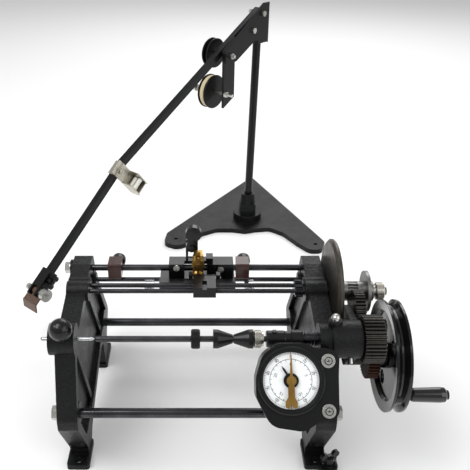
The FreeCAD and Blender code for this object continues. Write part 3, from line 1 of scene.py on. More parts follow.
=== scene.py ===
"""Looks of the hand coil winding machine and of its wire tension stand.

The winder has two black sand cast sides, polished rods and screws, a geared spindle with a crank
wheel, a carriage with brass rollers and a turn counter. The stand behind it holds the wire back.
All lengths are metres unless a name ends in mm.
"""
import json
import logging
import math
from dataclasses import dataclass, field
from enum import Enum
from typing import Dict, List, Sequence, Tuple

import bmesh
import bpy
from mathutils import Matrix, Vector


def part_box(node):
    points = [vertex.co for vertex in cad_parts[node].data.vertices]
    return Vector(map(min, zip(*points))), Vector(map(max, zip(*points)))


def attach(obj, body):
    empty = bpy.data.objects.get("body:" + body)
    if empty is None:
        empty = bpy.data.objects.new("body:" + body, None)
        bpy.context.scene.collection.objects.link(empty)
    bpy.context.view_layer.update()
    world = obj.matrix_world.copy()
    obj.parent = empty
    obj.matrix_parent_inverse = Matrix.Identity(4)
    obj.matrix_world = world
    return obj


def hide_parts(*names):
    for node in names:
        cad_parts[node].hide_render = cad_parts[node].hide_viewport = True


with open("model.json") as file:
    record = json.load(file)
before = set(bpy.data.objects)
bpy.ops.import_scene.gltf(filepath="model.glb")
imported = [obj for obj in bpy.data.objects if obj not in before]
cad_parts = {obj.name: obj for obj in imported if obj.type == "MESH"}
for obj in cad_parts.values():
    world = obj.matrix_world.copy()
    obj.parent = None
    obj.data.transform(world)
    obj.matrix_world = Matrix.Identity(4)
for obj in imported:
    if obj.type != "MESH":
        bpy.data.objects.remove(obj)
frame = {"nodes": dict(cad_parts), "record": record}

LOG = logging.getLogger("coil_winder")
MM = 0.001
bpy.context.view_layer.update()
Point = Tuple[float, float, float]


def linear(hex_colour: str) -> Tuple[float, float, float, float]:
    """Linear colour of an sRGB hex string.

    Args:
        hex_colour: Six hex digits, with or without a leading hash.

    Returns:
        Red, green, blue and an alpha of one.
    """
    digits = hex_colour.lstrip("#")
    values = []
    for index in (0, 2, 4):
        channel = int(digits[index:index + 2], 16) / 255.0
        values.append(channel / 12.92 if channel <= 0.04045 else ((channel + 0.055) / 1.055) ** 2.4)
    return (values[0], values[1], values[2], 1.0)


class Surface(Enum):
    """How a finish is made."""

    CAST = "cast"
    PAINT = "paint"
    TURNED = "turned"
    GROUND = "ground"
    PLATED = "plated"
    PLASTIC = "plastic"
    FIBRE = "fibre"
    FELT = "felt"
    ENAMEL = "enamel"


@dataclass(frozen=True)
class Finish:
    """One surface finish.

    Attributes:
        name: Name of the material.
        surface: How it is made.
        light: Colour of its lighter areas.
        dark: Colour of its darker areas.
        rough: Least and greatest roughness.
        grain_mm: Size of its small pattern.
        relief_mm: Height of its small pattern.
        metal: True for bare metal.
        coat: Weight of a clear layer on top.
        edge_mm: Radius that its edges seem rounded to.
        shine: Specular level of paint and plastic.
    """

    name: str
    surface: Surface
    light: str
    dark: str
    rough: Tuple[float, float]
    grain_mm: float
    relief_mm: float
    metal: bool = False
    coat: float = 0.0
    edge_mm: float = 0.25
    shine: float = 0.2


FINISHES: Dict[str, Finish] = {finish.name: finish for finish in (
    # Sand cast iron under thick black paint: pitted, with soft edges and broken dull lights.
    Finish("black_casting", Surface.CAST, "#141516", "#050506", (0.26, 0.5), 3.0, 0.7,
           edge_mm=1.4),
    # Satin black paint on bar, sheet and the counter, smooth with soft lights.
    Finish("black_enamel", Surface.PAINT, "#101112", "#060607", (0.26, 0.42), 2.2, 0.02, coat=0.1),
    # Thick glossy black stoving enamel of the crank wheel, with crisp lights in its rims.
    Finish("gloss_black_enamel", Surface.PAINT, "#0b0b0c", "#040404", (0.1, 0.2), 6.0, 0.03, coat=0.5),
    # Blackened machined steel: nearly black, with fine turning marks.
    Finish("black_oxide_steel", Surface.TURNED, "#111112", "#060607", (0.28, 0.42), 0.35, 0.006, coat=0.2),
    # Dark polished bar and screw stock: nearly black, with thin bright lines along it.
    Finish("dark_steel", Surface.TURNED, "#5a5a5d", "#2a2a2c", (0.14, 0.3), 0.3, 0.004, metal=True),
    # Oily cut gear steel, dark with dull lights on the teeth.
    Finish("dark_gear_steel", Surface.TURNED, "#5c5955", "#2d2b29", (0.3, 0.48), 0.4, 0.01, metal=True),
    # Bright polished bar of the tailstock pin and the reversing rods.
    Finish("polished_steel", Surface.TURNED, "#d5d7d9", "#8d9093", (0.12, 0.26), 0.3, 0.003, metal=True),
    # Ground steel of the sleeve and the small disc, grey and slightly dull.
    Finish("grey_steel", Surface.GROUND, "#a9a9a6", "#5e5e5c", (0.28, 0.46), 0.8, 0.01, metal=True),
    # Dull grey brown steel of the friction disc, with circular marks.
    Finish("disc_steel", Surface.TURNED, "#6d6760", "#3b3732", (0.32, 0.5), 0.5, 0.008, metal=True),
    # Zinc plated bolts and nuts: pale, with soft bright lights.
    Finish("zinc_steel", Surface.PLATED, "#dcdcd8", "#97968f", (0.2, 0.36), 1.2, 0.006, metal=True),
    # Nickel plate over knurling, warm and bright on the ribs.
    Finish("knurled_nickel", Surface.PLATED, "#dedbd2", "#96928a", (0.18, 0.34), 0.9, 0.006, metal=True),
    # Nickel plated sheet of the clip.
    Finish("nickel_plate", Surface.PLATED, "#d6d2c6", "#8f8a7e", (0.2, 0.4), 1.4, 0.006, metal=True),
    # Plain turned brass, yellow with darker hollows.
    Finish("brass", Surface.TURNED, "#c9a25a", "#7d5f2c", (0.22, 0.4), 0.5, 0.006, metal=True),
    # Laminated brown fibre, with a fine grain round the gear.
    Finish("brown_fibre", Surface.FIBRE, "#523429", "#2f1d17", (0.4, 0.58), 0.7, 0.03),
    # Moulded brown bakelite, smooth with a clear sheen.
    Finish("brown_bakelite", Surface.PLASTIC, "#4a2f28", "#2a1813", (0.2, 0.34), 3.0, 0.008, coat=0.4),
    # Moulded black plastic knobs, smooth and slightly glossy.
    Finish("black_plastic", Surface.PLASTIC, "#0f0f10", "#060606", (0.2, 0.36), 2.0, 0.006, coat=0.3),
    # Polished black plastic of the crank grip, with sharp lights.
    Finish("gloss_black_plastic", Surface.PLASTIC, "#141415", "#070708", (0.1, 0.2), 4.0, 0.004, coat=0.8),
    # White enamelled dial, even and nearly matt.
    Finish("white_enamel", Surface.ENAMEL, "#f3f5f5", "#e6e9ea", (0.28, 0.4), 3.0, 0.002),
    # White plastic of the clip rollers.
    Finish("white_plastic", Surface.PLASTIC, "#ecebe4", "#cfcdc3", (0.3, 0.42), 2.0, 0.006),
    # Dense cream felt, soft and without lights.
    Finish("cream_felt", Surface.FELT, "#dccfab", "#b7a67e", (0.85, 0.98), 0.5, 0.12),
    # Worn copper brown lacquer of the wire guide.
    Finish("brown_lacquer", Surface.PAINT, "#6e574a", "#45362e", (0.3, 0.46), 1.6, 0.01, coat=0.2),
    # Black print on the dial, also used as painted shade in the gaps and cross slots of the counter's screws.
    Finish("ink_and_painted_shade", Surface.ENAMEL, "#1a1b1d", "#0d0d0e", (0.4, 0.5), 1.0, 0.0),
)}


class MaterialMaker:
    """Builds each finish once as a procedural material."""

    def __init__(self) -> None:
        self._made: Dict[str, bpy.types.Material] = {}

    def get(self, name: str) -> bpy.types.Material:
        """Material of a finish.

        Args:
            name: Name of the finish.

        Returns:
            The material, made the first time that it is asked for.
        """
        if name not in self._made:
            self._made[name] = self._build(FINISHES[name])
        return self._made[name]

    def _build(self, finish: Finish) -> bpy.types.Material:
        material = bpy.data.materials.new(finish.name)
        material.use_nodes = True
        tree = material.node_tree
        tree.nodes.clear()
        output = tree.nodes.new("ShaderNodeOutputMaterial")
        shader = tree.nodes.new("ShaderNodeBsdfPrincipled")
        tree.links.new(shader.outputs["BSDF"], output.inputs["Surface"])
        shader.inputs["Metallic"].default_value = 1.0 if finish.metal else 0.0
        shader.inputs["Coat Weight"].default_value = finish.coat
        shader.inputs["Coat Roughness"].default_value = 0.12
        shader.inputs["Specular IOR Level"].default_value = 0.5 if finish.metal else finish.shine
        coordinates = tree.nodes.new("ShaderNodeTexCoord").outputs["Object"]
        broad = self._noise(tree, coordinates, 28.0, 3.0, 0.55)
        fine = self._noise(tree, self._stretched(tree, coordinates, finish), finish.grain_mm, 4.0, 0.6)
        mixed = self._average(tree, broad, fine, 0.55)
        shade = self._range(tree, mixed, 0.32, 0.68, 0.0, 1.0)
        tree.links.new(self._blend(tree, shade, finish.dark, finish.light), shader.inputs["Base Color"])
        rough = self._range(tree, mixed, 0.3, 0.7, finish.rough[1], finish.rough[0])
        tree.links.new(rough, shader.inputs["Roughness"])
        if finish.relief_mm > 0.0:
            edges = tree.nodes.new("ShaderNodeBevel")
            edges.samples = 6
            edges.inputs["Radius"].default_value = finish.edge_mm * MM
            bump = tree.nodes.new("ShaderNodeBump")
            tree.links.new(edges.outputs["Normal"], bump.inputs["Normal"])
            bump.inputs["Strength"].default_value = 1.0
            bump.inputs["Distance"].default_value = finish.relief_mm * MM
            tree.links.new(fine, bump.inputs["Height"])
            tree.links.new(bump.outputs["Normal"], shader.inputs["Normal"])
        if finish.surface is Surface.FELT:
            shader.inputs["Sheen Weight"].default_value = 0.5
        return material

    @staticmethod
    def _stretched(tree: bpy.types.NodeTree, coordinates: bpy.types.NodeSocket,
                   finish: Finish) -> bpy.types.NodeSocket:
        """Coordinates drawn out across the axis of turned work, so that its marks run round it."""
        if finish.surface not in (Surface.TURNED, Surface.FIBRE):
            return coordinates
        mapping = tree.nodes.new("ShaderNodeMapping")
        mapping.inputs["Scale"].default_value = (1.0, 0.06, 0.06)
        tree.links.new(coordinates, mapping.inputs["Vector"])
        return mapping.outputs["Vector"]

    @staticmethod
    def _noise(tree: bpy.types.NodeTree, coordinates: bpy.types.NodeSocket, size_mm: float,
               detail: float, roughness: float) -> bpy.types.NodeSocket:
        noise = tree.nodes.new("ShaderNodeTexNoise")
        noise.inputs["Scale"].default_value = 1.0 / (size_mm * MM)
        noise.inputs["Detail"].default_value = detail
        noise.inputs["Roughness"].default_value = roughness
        tree.links.new(coordinates, noise.inputs["Vector"])
        return noise.outputs["Fac"]

    @staticmethod
    def _average(tree: bpy.types.NodeTree, first: bpy.types.NodeSocket, second: bpy.types.NodeSocket,
                 share: float) -> bpy.types.NodeSocket:
        mix = tree.nodes.new("ShaderNodeMix")
        mix.data_type = "FLOAT"
        mix.inputs[0].default_value = share
        tree.links.new(first, mix.inputs[2])
        tree.links.new(second, mix.inputs[3])
        return mix.outputs[0]

    @staticmethod
    def _range(tree: bpy.types.NodeTree, value: bpy.types.NodeSocket, low: float, high: float,
               to_low: float, to_high: float) -> bpy.types.NodeSocket:
        node = tree.nodes.new("ShaderNodeMapRange")
        limits = {"From Min": low, "From Max": high, "To Min": to_low, "To Max": to_high}
        for socket, number in limits.items():
            node.inputs[socket].default_value = number
        tree.links.new(value, node.inputs["Value"])
        return node.outputs["Result"]

    @staticmethod
    def _blend(tree: bpy.types.NodeTree, factor: bpy.types.NodeSocket, dark: str,
               light: str) -> bpy.types.NodeSocket:
        mix = tree.nodes.new("ShaderNodeMix")
        mix.data_type = "RGBA"
        mix.inputs[6].default_value = linear(dark)
        mix.inputs[7].default_value = linear(light)
        tree.links.new(factor, mix.inputs[0])
        return mix.outputs[2]


MATERIALS = MaterialMaker()


# Geometry helpers

def link_piece(name: str, mesh: bpy.types.Mesh, finish: str, body: str) -> bpy.types.Object:
    """Links a finished mesh that rides on a CAD body.

    Args:
        name: Name of the piece.
        mesh: Its mesh, in the row frame.
        finish: Name of its finish.
        body: CAD body that it moves with.

    Returns:
        The linked object.
    """
    if not mesh.materials:
        mesh.materials.append(MATERIALS.get(finish))
    piece = bpy.data.objects.new(name, mesh)
    bpy.context.scene.collection.objects.link(piece)
    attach(piece, body)
    return piece


def mesh_of(name: str, points: Sequence[Point], faces: Sequence[Sequence[int]],
            matrix: Matrix = Matrix.Identity(4), smooth: bool = True) -> bpy.types.Mesh:
    """Mesh from points in millimetres and faces, moved to its place.

    Args:
        name: Name of the mesh.
        points: Its points, in millimetres, in its own frame.
        faces: Its faces, each a list of point numbers.
        matrix: Its place in the row frame, in metres.
        smooth: True for smooth shading.

    Returns:
        The mesh, with its faces pointing outwards.
    """
    mesh = bpy.data.meshes.new(name)
    mesh.from_pydata([matrix @ (Vector(point) * MM) for point in points], [], faces)
    work = bmesh.new()
    work.from_mesh(mesh)
    bmesh.ops.recalc_face_normals(work, faces=work.faces)
    work.to_mesh(mesh)
    work.free()
    for polygon in mesh.polygons:
        polygon.use_smooth = smooth
    return mesh


def axis_frame(place_mm: Point, along: Vector, up: Vector = Vector((0.0, 0.0, 1.0))) -> Matrix:
    """Frame whose own X axis points along a direction.

    Args:
        place_mm: Its origin, in millimetres.
        along: Direction of its X axis.
        up: A direction near its Z axis.

    Returns:
        The frame as a matrix in metres.
    """
    x_axis = along.normalized()
    y_axis = up.cross(x_axis).normalized()
    z_axis = x_axis.cross(y_axis)
    matrix = Matrix((x_axis, y_axis, z_axis)).transposed().to_4x4()
    matrix.translation = Vector(place_mm) * MM
    return matrix


def thread_mesh(name: str, start: float, end: float, root: float, crest: float, pitch: float,
                matrix: Matrix, steps: int = 20) -> bpy.types.Mesh:
    """Ridge of a screw thread that winds round the X axis.

    Args:
        name: Name of the mesh.
        start: Where it starts along X, in millimetres.
        end: Where it ends.
        root: Radius at the foot of the ridge.
        crest: Radius at the top of the ridge.
        pitch: Advance in one turn.
        matrix: Place of the axis.
        steps: Points in one turn.

    Returns:
        The mesh of the ridge.
    """
    turns = (end - start - pitch) / pitch
    points: List[Point] = []
    faces: List[Tuple[int, ...]] = []
    for step in range(int(turns * steps) + 1):
        angle = 2.0 * math.pi * step / steps
        middle = start + pitch * (0.5 + step / steps)
        for offset, radius in ((-0.45, root), (-0.08, crest), (0.08, crest), (0.45, root)):
            points.append((middle + offset * pitch, radius * math.cos(angle), radius * math.sin(angle)))
        if step:
            first = 4 * (step - 1)
            for side in range(4):
                after = (side + 1) % 4
                faces.append((first + side, first + after, first + 4 + after, first + 4 + side))
    last = len(points) - 4
    faces += [(0, 1, 2, 3), (last + 3, last + 2, last + 1, last)]
    return mesh_of(name, points, faces, matrix)


def islands_of(node: str) -> Tuple[bmesh.types.BMesh, List[List[bmesh.types.BMFace]]]:
    """Faces of each solid of a CAD node.

    Args:
        node: Name of the node.

    Returns:
        A working copy of its mesh, and the faces of each solid in it.
    """
    work = bmesh.new()
    work.from_mesh(frame["nodes"][node].data)
    bmesh.ops.remove_doubles(work, verts=work.verts, dist=0.000002)
    waiting = set(work.faces)
    islands = []
    while waiting:
        found = {waiting.pop()}
        to_visit = list(found)
        while to_visit:
            for edge in to_visit.pop().edges:
                # Two solids that touch share an edge of four faces, which doesn't join them.
                beside = edge.link_faces if len(edge.link_faces) == 2 else ()
                for neighbour in beside:
                    if neighbour not in found:
                        found.add(neighbour)
                        to_visit.append(neighbour)
        waiting -= found
        islands.append(list(found))
    return work, islands


class RingMaker:
    """Repeats a small block round an axis with Geometry Nodes."""

    def __init__(self) -> None:
        self._group = self._build()

    @staticmethod
    def _build() -> bpy.types.NodeTree:
        group = bpy.data.node_groups.new("ring_of_blocks", "GeometryNodeTree")
        sockets = (("Count", "NodeSocketInt"), ("Radius", "NodeSocketFloat"),
                   ("Block", "NodeSocketVector"), ("Start", "NodeSocketFloat"),
                   ("Along", "NodeSocketFloat"), ("Finish", "NodeSocketMaterial"))
        for name, kind in sockets:
            group.interface.new_socket(name=name, in_out="INPUT", socket_type=kind)
        group.interface.new_socket(name="Geometry", in_out="OUTPUT", socket_type="NodeSocketGeometry")
        nodes, links = group.nodes, group.links
        given = nodes.new("NodeGroupInput").outputs
        cube = nodes.new("GeometryNodeMeshCube")
        links.new(given["Block"], cube.inputs["Size"])
        offset = nodes.new("ShaderNodeCombineXYZ")
        links.new(given["Along"], offset.inputs["X"])
        links.new(given["Radius"], offset.inputs["Y"])
        moved = nodes.new("GeometryNodeTransform")
        links.new(cube.outputs["Mesh"], moved.inputs["Geometry"])
        links.new(offset.outputs["Vector"], moved.inputs["Translation"])
        points = nodes.new("GeometryNodePoints")
        links.new(given["Count"], points.inputs["Count"])
        step = nodes.new("ShaderNodeMath")
        step.operation = "DIVIDE"
        step.inputs[0].default_value = 2.0 * math.pi
        links.new(given["Count"], step.inputs[1])
        turn = nodes.new("ShaderNodeMath")
        turn.operation = "MULTIPLY_ADD"
        links.new(nodes.new("GeometryNodeInputIndex").outputs["Index"], turn.inputs[0])
        links.new(step.outputs["Value"], turn.inputs[1])
        links.new(given["Start"], turn.inputs[2])
        angles = nodes.new("ShaderNodeCombineXYZ")
        links.new(turn.outputs["Value"], angles.inputs["X"])
        copies = nodes.new("GeometryNodeInstanceOnPoints")
        links.new(points.outputs["Points"], copies.inputs["Points"])
        links.new(moved.outputs["Geometry"], copies.inputs["Instance"])
        links.new(angles.outputs["Vector"], copies.inputs["Rotation"])
        real = nodes.new("GeometryNodeRealizeInstances")
        links.new(copies.outputs["Instances"], real.inputs["Geometry"])
        painted = nodes.new("GeometryNodeSetMaterial")
        links.new(real.outputs["Geometry"], painted.inputs["Geometry"])
        links.new(given["Finish"], painted.inputs["Material"])
        links.new(painted.outputs["Geometry"], nodes.new("NodeGroupOutput").inputs["Geometry"])
        return group

    def ring(self, name: str, count: int, radius: float, block: Point, matrix: Matrix, finish: str,
             body: str, start: float = 0.0, along: float = 0.0) -> bpy.types.Object:
        """Ring of blocks as one plain mesh.

        Args:
            name: Name of the piece.
            count: Number of blocks.
            radius: Distance from the axis to the middle of a block, in millimetres.
            block: Size of a block along the axis, outwards and sideways, in millimetres.
            matrix: Frame whose X axis is the ring's axis.
            finish: Name of the finish.
            body: CAD body that the ring moves with.
            start: Angle of the first block, in degrees.
            along: Where the ring is along its axis, in millimetres.

        Returns:
            The linked piece.
        """
        carrier = bpy.data.objects.new(name + "_carrier", bpy.data.meshes.new(name + "_empty"))
        bpy.context.scene.collection.objects.link(carrier)
        modifier = carrier.modifiers.new("ring", "NODES")
        modifier.node_group = self._group
        values = {"Count": count, "Radius": radius * MM, "Block": tuple(side * MM for side in block),
                  "Start": math.radians(start), "Along": along * MM, "Finish": MATERIALS.get(finish)}
        for item in self._group.interface.items_tree:
            if item.in_out == "INPUT":
                modifier[item.identifier] = values[item.name]
        graph = bpy.context.evaluated_depsgraph_get()
        mesh = bpy.data.meshes.new_from_object(carrier.evaluated_get(graph))
        mesh.name = name
        mesh.transform(matrix)
        bpy.data.objects.remove(carrier)
        return link_piece(name, mesh, finish, body)


RINGS = RingMaker()


# Threads and knurls

@dataclass
class Threads:
    """Threads of the lead screws and of the winding rod.

    Attributes:
        screw_radius: Radius of the plain lead screw.
        pitch: Advance of the lead screws in one turn.
        rod_radius: Radius of the plain winding rod.
        rod_pitch: Advance of the winding rod's thread.
        screw_height: Height of the lead screws.
        screw_span: Start and end of the lead screws' threads.
        rod_span: Start and end of the winding rod's thread.
        spindle: Depth and height of the spindle's axis.
    """

    screw_radius: float = 2.3
    pitch: float = 1.6
    rod_radius: float = 2.95
    rod_pitch: float = 1.25
    screw_height: float = 172.2
    screw_span: Tuple[float, float] = (-108.0, 101.0)
    rod_span: Tuple[float, float] = (-94.0, 15.0)
    spindle: Tuple[float, float] = (-98.2, 166.1)

    def build(self) -> None:
        """Makes the ridge of each thread."""
        along = Vector((1.0, 0.0, 0.0))
        for body, depth in (("front_screw", -22.1), ("rear_screw", -10.9)):
            name = body + "_thread"
            matrix = axis_frame((0.0, depth, self.screw_height), along)
            mesh = thread_mesh(name, *self.screw_span, self.screw_radius - 0.1, self.screw_radius + 0.35,
                               self.pitch, matrix)
            link_piece(name, mesh, "dark_steel", body)
        matrix = axis_frame((0.0, *self.spindle), along)
        mesh = thread_mesh("rod_thread", *self.rod_span, self.rod_radius - 0.08, self.rod_radius + 0.12,
                           self.rod_pitch, matrix)
        link_piece("rod_thread", mesh, "dark_steel", "spindle")


@dataclass
class Knurls:
    """Knurled rims of the nuts, wheels and knobs.

    Attributes:
        rib_high: Half the height of a rib, in millimetres.
        spacing: Distance from one rib to the next.
    """

    rib_high: float = 0.3
    spacing: float = 1.1

    def build(self) -> None:
        """Makes a ring of fine ribs on each knurled rim."""
        for node, body, axis, finish in (
                ("thumb_wheel", "rod_thumb_wheel", 0, "black_oxide_steel"),
                ("knurled_nut", "rod_nut", 0, "knurled_nickel"),
                ("end_knurled_nut", "screw_nut", 0, "knurled_nickel"),
                ("left_stop_knob", "stop_left_screw", 1, "black_plastic"),
                ("right_stop_knob", "stop_right_screw", 1, "black_plastic")):
            self._rim(node, body, axis, finish)

    def _rim(self, node: str, body: str, axis: int, finish: str) -> None:
        low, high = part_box(node)
        middle = (low + high) / (2.0 * MM)
        radius = (high.z - low.z) / (2.0 * MM)
        start, end = self._widest(node, axis, radius, middle)
        along = Vector((1.0, 0.0, 0.0)) if axis == 0 else Vector((0.0, 1.0, 0.0))
        centre = [middle.x, middle.y, middle.z]
        centre[axis] = (start + end) / 2.0
        count = int(2.0 * math.pi * radius / self.spacing)
        width = 2.0 * math.pi * radius / count * 0.5
        block = (0.84 * (end - start), 2.0 * self.rib_high, width)
        piece = RINGS.ring(node + "_knurl", count, radius, block, axis_frame(tuple(centre), along), finish, body)

    @staticmethod
    def _widest(node: str, axis: int, radius: float, middle: Vector) -> Tuple[float, float]:
        """Where the rim of a round node starts and ends along its axis, in millimetres."""
        other = 1 - axis
        places = []
        for vertex in frame["nodes"][node].data.vertices:
            point = vertex.co / MM
            if math.hypot(point[other] - middle[other], point.z - middle.z) > radius - 0.25:
                places.append(point[axis])
        return min(places), max(places)


# Wire guide at the end of the arm

@dataclass
class WireGuide:
    """Black bracket, brown tongue and bright bolt, which are one node in the CAD.

    Attributes:
        node: Name of that node.
        bolt: A point on the bolt's axis, in millimetres.
        across: Direction of the bolt.
        near_mm: How near to the axis the middle of a part of the bolt lies.
    """

    node: str = "end_bracket"
    bolt: Point = (-211.2, 131.5, 74.3)
    across: Point = (0.75471, -0.65606, 0.0)
    near_mm: float = 0.8

    def build(self) -> None:
        """Makes a copy of each solid of the node with its own finish."""
        work, islands = islands_of(self.node)
        on_bolt = [faces for faces in islands if self._off_axis(faces) < self.near_mm]
        others = [faces for faces in islands if self._off_axis(faces) >= self.near_mm]
        others.sort(key=lambda faces: min(vertex.co.z for face in faces for vertex in face.verts))
        named = [("guide_bolt", [face for faces in on_bolt for face in faces], "zinc_steel", "zinc_steel"),
                 ("guide_tongue", others[0], "brown_lacquer", "brown_bakelite"),
                 ("guide_bracket", others[1], "black_enamel", "black_enamel")]
        for name, faces, finish, slot in named:
            piece = link_piece(name, self._mesh(name, faces), finish, "arm")
            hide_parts(self.node)
        work.free()

    def _off_axis(self, faces: Sequence[bmesh.types.BMFace]) -> float:
        """Distance in millimetres from the middle of some faces to the bolt's axis."""
        corners = {vertex for face in faces for vertex in face.verts}
        middle = sum((vertex.co for vertex in corners), Vector((0.0, 0.0, 0.0))) / (len(corners) * MM)
        offset = middle - Vector(self.bolt)
        way = Vector(self.across)
        return (offset - way * offset.dot(way)).length

    @staticmethod
    def _mesh(name: str, faces: Sequence[bmesh.types.BMFace]) -> bpy.types.Mesh:
        numbers: Dict[bmesh.types.BMVert, int] = {}
        points: List[Point] = []
        sides: List[List[int]] = []
        for face in faces:
            side = []
            for vertex in face.verts:
                if vertex not in numbers:
                    numbers[vertex] = len(points)
                    points.append(tuple(vertex.co / MM))
                side.append(numbers[vertex])
            sides.append(side)
        mesh = mesh_of(name, points, sides)
        mesh.set_sharp_from_angle(angle=math.radians(30.0))
        return mesh


# Counter

@dataclass
class CounterDial:
    """Printed scales and numbers of the turn counter.

    Attributes:
        centre: Middle of the dial's front, in millimetres.
        lean: Degrees that the dial leans back.
        face: Height of the white face below the front.
        outer: Radius of the outer scale.
        ring: Radius of the printed circle.
        outer_numbers: Radius of the middles of the outer numbers.
        inner_numbers: Radius of the middles of the inner numbers.
    """

    centre: Point = (84.6, -153.2, 160.8)
    lean: float = 34.0
    face: float = -0.4
    outer: float = 25.0
    ring: float = 19.0
    outer_numbers: float = 21.2
    inner_numbers: float = 14.4

    def build(self) -> None:
        """Makes the ticks, the circle and the numbers."""
        tilt = math.radians(90.0 - self.lean)
        matrix = axis_frame(self.centre, Vector((0.0, -math.sin(tilt), math.cos(tilt))))
        height = self.face + 0.05
        self._ticks("outer_ticks", 100, self.outer - 0.8, 1.6, 0.26, matrix, height)
        self._ticks("ten_ticks", 10, self.outer - 1.3, 2.6, 0.5, matrix, height)
        self._ticks("inner_ticks", 25, self.ring - 0.8, 1.6, 0.4, matrix, height)
        self._circle(matrix, height)
        for value in range(10):
            label = str(10 * value)
            turned = -36.0 * value
            self._number("outer_number_" + label, label, self.outer_numbers, turned, 3.7, matrix, height)
        for value in range(5):
            label = str(5 * value)
            turned = -72.0 * value
            self._number("inner_number_" + label, label, self.inner_numbers, turned, 3.9, matrix, height)

    def _ticks(self, name: str, count: int, radius: float, length: float, width: float, matrix: Matrix,
               height: float) -> None:
        piece = RINGS.ring(name, count, radius, (0.06, length, width), matrix, "ink_and_painted_shade", "frame", start=90.0,
                           along=height)

    def _circle(self, matrix: Matrix, height: float) -> None:
        points: List[Point] = []
        faces: List[Tuple[int, ...]] = []
        steps = 120
        for step in range(steps):
            angle = 2.0 * math.pi * step / steps
            for radius in (self.ring - 0.2, self.ring + 0.2):
                for depth in (height - 0.03, height + 0.03):
                    points.append((depth, radius * math.cos(angle), radius * math.sin(angle)))
            here, after = 4 * step, 4 * ((step + 1) % steps)
            faces += [(here, here + 1, after + 1, after), (here + 2, after + 2, after + 3, here + 3),
                      (here + 1, here + 3, after + 3, after + 1), (here, after, after + 2, here + 2)]
        link_piece("scale_circle", mesh_of("scale_circle", points, faces, matrix), "ink_and_painted_shade", "frame")

    def _number(self, name: str, text: str, radius: float, degrees: float, size: float, matrix: Matrix,
                height: float) -> None:
        curve = bpy.data.curves.new(name, "FONT")
        curve.body = text
        curve.size = size * MM
        curve.align_x = "CENTER"
        curve.align_y = "CENTER"
        curve.extrude = 0.03 * MM
        carrier = bpy.data.objects.new(name + "_text", curve)
        bpy.context.scene.collection.objects.link(carrier)
        graph = bpy.context.evaluated_depsgraph_get()
        mesh = bpy.data.meshes.new_from_object(carrier.evaluated_get(graph))
        bpy.data.objects.remove(carrier)
        mesh.name = name
        upright = Matrix(((0.0, 0.0, 1.0), (1.0, 0.0, 0.0), (0.0, 1.0, 0.0))).to_4x4()
        shift = Matrix.Translation(Vector((height * MM, 0.0, radius * MM)))
        turn = Matrix.Rotation(math.radians(degrees), 4, "X")
        mesh.transform(matrix @ turn @ shift @ upright)
        mesh.materials.clear()
        link_piece(name, mesh, "ink_and_painted_shade", "frame")


@dataclass
class CounterScrews:
    """Painted shade in the recesses and cross slots of the screws in the two light washers of the counter.

    Attributes:
        out: Direction out of the counter's front.
        recess: Inner and outer radius of the painted shade ring in the gap between washer and screw, in
            millimetres.
    """

    out: Point = (0.0, -0.82904, 0.55919)
    recess: Tuple[float, float] = (2.9, 3.7)

    def build(self) -> None:
        """Makes a ring of painted shade and a cross of painted shade on each screw."""
        work, islands = islands_of("counter_bolts")
        way = Vector(self.out)
        for index, faces in enumerate(islands):
            corners = {vertex for face in faces for vertex in face.verts}
            top = max(vertex.co.dot(way) for vertex in corners)
            rim = [vertex.co for vertex in corners if vertex.co.dot(way) > top - 0.0004]
            middle = sum(rim, Vector((0.0, 0.0, 0.0))) / len(rim)
            place = (middle + way * (top - middle.dot(way))) / MM
            matrix = axis_frame(tuple(place), way)
            count = 40
            radius = sum(self.recess) / 2.0
            width = 2.0 * math.pi * self.recess[1] / count
            block = (0.06, self.recess[1] - self.recess[0], width)
            # Thin black ring painted as the shade in the gap between washer and screw.
            gap = RINGS.ring("washer_gap_painted_shade_%d" % index, count, radius, block, matrix, "ink_and_painted_shade", "frame")
            # Black cross painted as the shade in the screw's cross slot.
            cross = RINGS.ring("screw_slot_painted_shade_%d" % index, 4, 0.8, (0.07, 1.6, 0.5), matrix, "ink_and_painted_shade", "frame",
                               start=20.0)
        work.free()


@dataclass
class NodeFinishes:
    """Gives every CAD node the finish of its slot in the record.

    Attributes:
        special: Nodes whose finish is glossier or darker than their slot's.
    """

    special: Dict[str, str] = field(default_factory=lambda: {
        "handwheel": "gloss_black_enamel", "crank_pin": "black_oxide_steel"})

    def apply(self) -> None:
        """Puts the materials on the nodes."""
        slots = {part["node"]: part["material_slot"] for part in frame["record"]["subparts"]}
        for name, node in frame["nodes"].items():
            node.data.materials.clear()
            finish = self.special.get(name, slots[name])
            node.data.materials.append(MATERIALS.get(finish))
            LOG.info("finish %s on %s", finish, name)


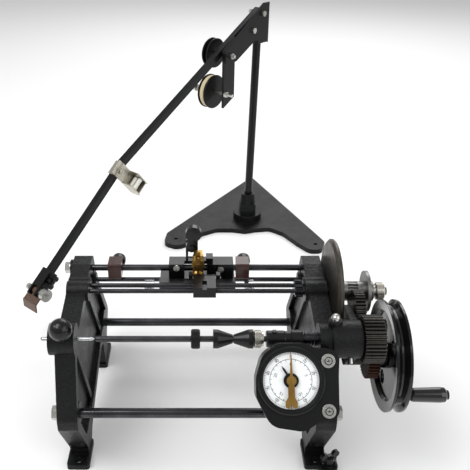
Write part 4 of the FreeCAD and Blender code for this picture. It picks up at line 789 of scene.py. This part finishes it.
@dataclass(frozen=True)
class Studio:
    """Camera, lights and floor.

    Attributes:
        camera: Place of the camera.
        pitch_down: Degrees that the camera looks down.
        lens: Focal length for a sensor 36 mm wide.
        shift: Sideways shift of the picture, in widths.
    """

    camera: Point = (0.0, -0.640, 0.568)
    pitch_down: float = 28.0
    lens: float = 52.85
    shift: float = 0.0809

    def build(self) -> None:
        """Makes the camera, the soft lights, the floor and the pale surroundings."""
        scene = bpy.context.scene
        data = bpy.data.cameras.new("camera")
        data.lens = self.lens
        data.sensor_width = 36.0
        data.shift_x = self.shift
        data.clip_start = 0.02
        data.clip_end = 20.0
        camera = bpy.data.objects.new("camera", data)
        camera.location = self.camera
        camera.rotation_euler = (math.radians(90.0 - self.pitch_down), 0.0, 0.0)
        scene.collection.objects.link(camera)
        scene.camera = camera
        self._lights()
        self._floor()
        self._world()
        scene.view_settings.view_transform = "Standard"
        scene.view_settings.look = "None"

    def _lights(self) -> None:
        for name, place, target, size, power in (
                ("key", (-0.9, -0.5, 1.7), (0.0, 0.2, 0.1), 1.2, 26.0),
                ("fill", (1.3, -0.9, 1.0), (0.0, 0.2, 0.1), 1.4, 12.0),
                ("back", (0.4, 1.9, 1.5), (0.0, 0.2, 0.1), 1.4, 18.0)):
            data = bpy.data.lights.new(name, "AREA")
            data.size = size
            data.energy = power
            light = bpy.data.objects.new(name, data)
            light.location = place
            aim = Vector(target) - Vector(place)
            light.rotation_euler = aim.to_track_quat("-Z", "Y").to_euler()
            bpy.context.scene.collection.objects.link(light)

    def _floor(self) -> None:
        mesh = bpy.data.meshes.new("floor")
        half = 6.0
        corners = [(-half, -half, 0.0), (half, -half, 0.0), (half, half, 0.0), (-half, half, 0.0)]
        mesh.from_pydata(corners, [], [(0, 1, 2, 3)])
        floor = bpy.data.objects.new("floor", mesh)
        bpy.context.scene.collection.objects.link(floor)
        material = bpy.data.materials.new("floor")
        material.use_nodes = True
        shader = material.node_tree.nodes["Principled BSDF"]
        shader.inputs["Base Color"].default_value = linear("#f4f4f4")
        shader.inputs["Roughness"].default_value = 0.9
        mesh.materials.append(material)

    def _world(self) -> None:
        world = bpy.data.worlds.new("surroundings")
        world.use_nodes = True
        background = world.node_tree.nodes["Background"]
        background.inputs["Color"].default_value = linear("#ffffff")
        background.inputs["Strength"].default_value = 0.5
        bpy.context.scene.world = world


def main() -> None:
    """Builds the looks of the whole object."""
    logging.basicConfig(level=logging.INFO)
    NodeFinishes().apply()
    for assembly in (Threads(), Knurls(), WireGuide(), CounterDial(), CounterScrews()):
        assembly.build()
    Studio().build()


if __name__ == "__main__":
    main()
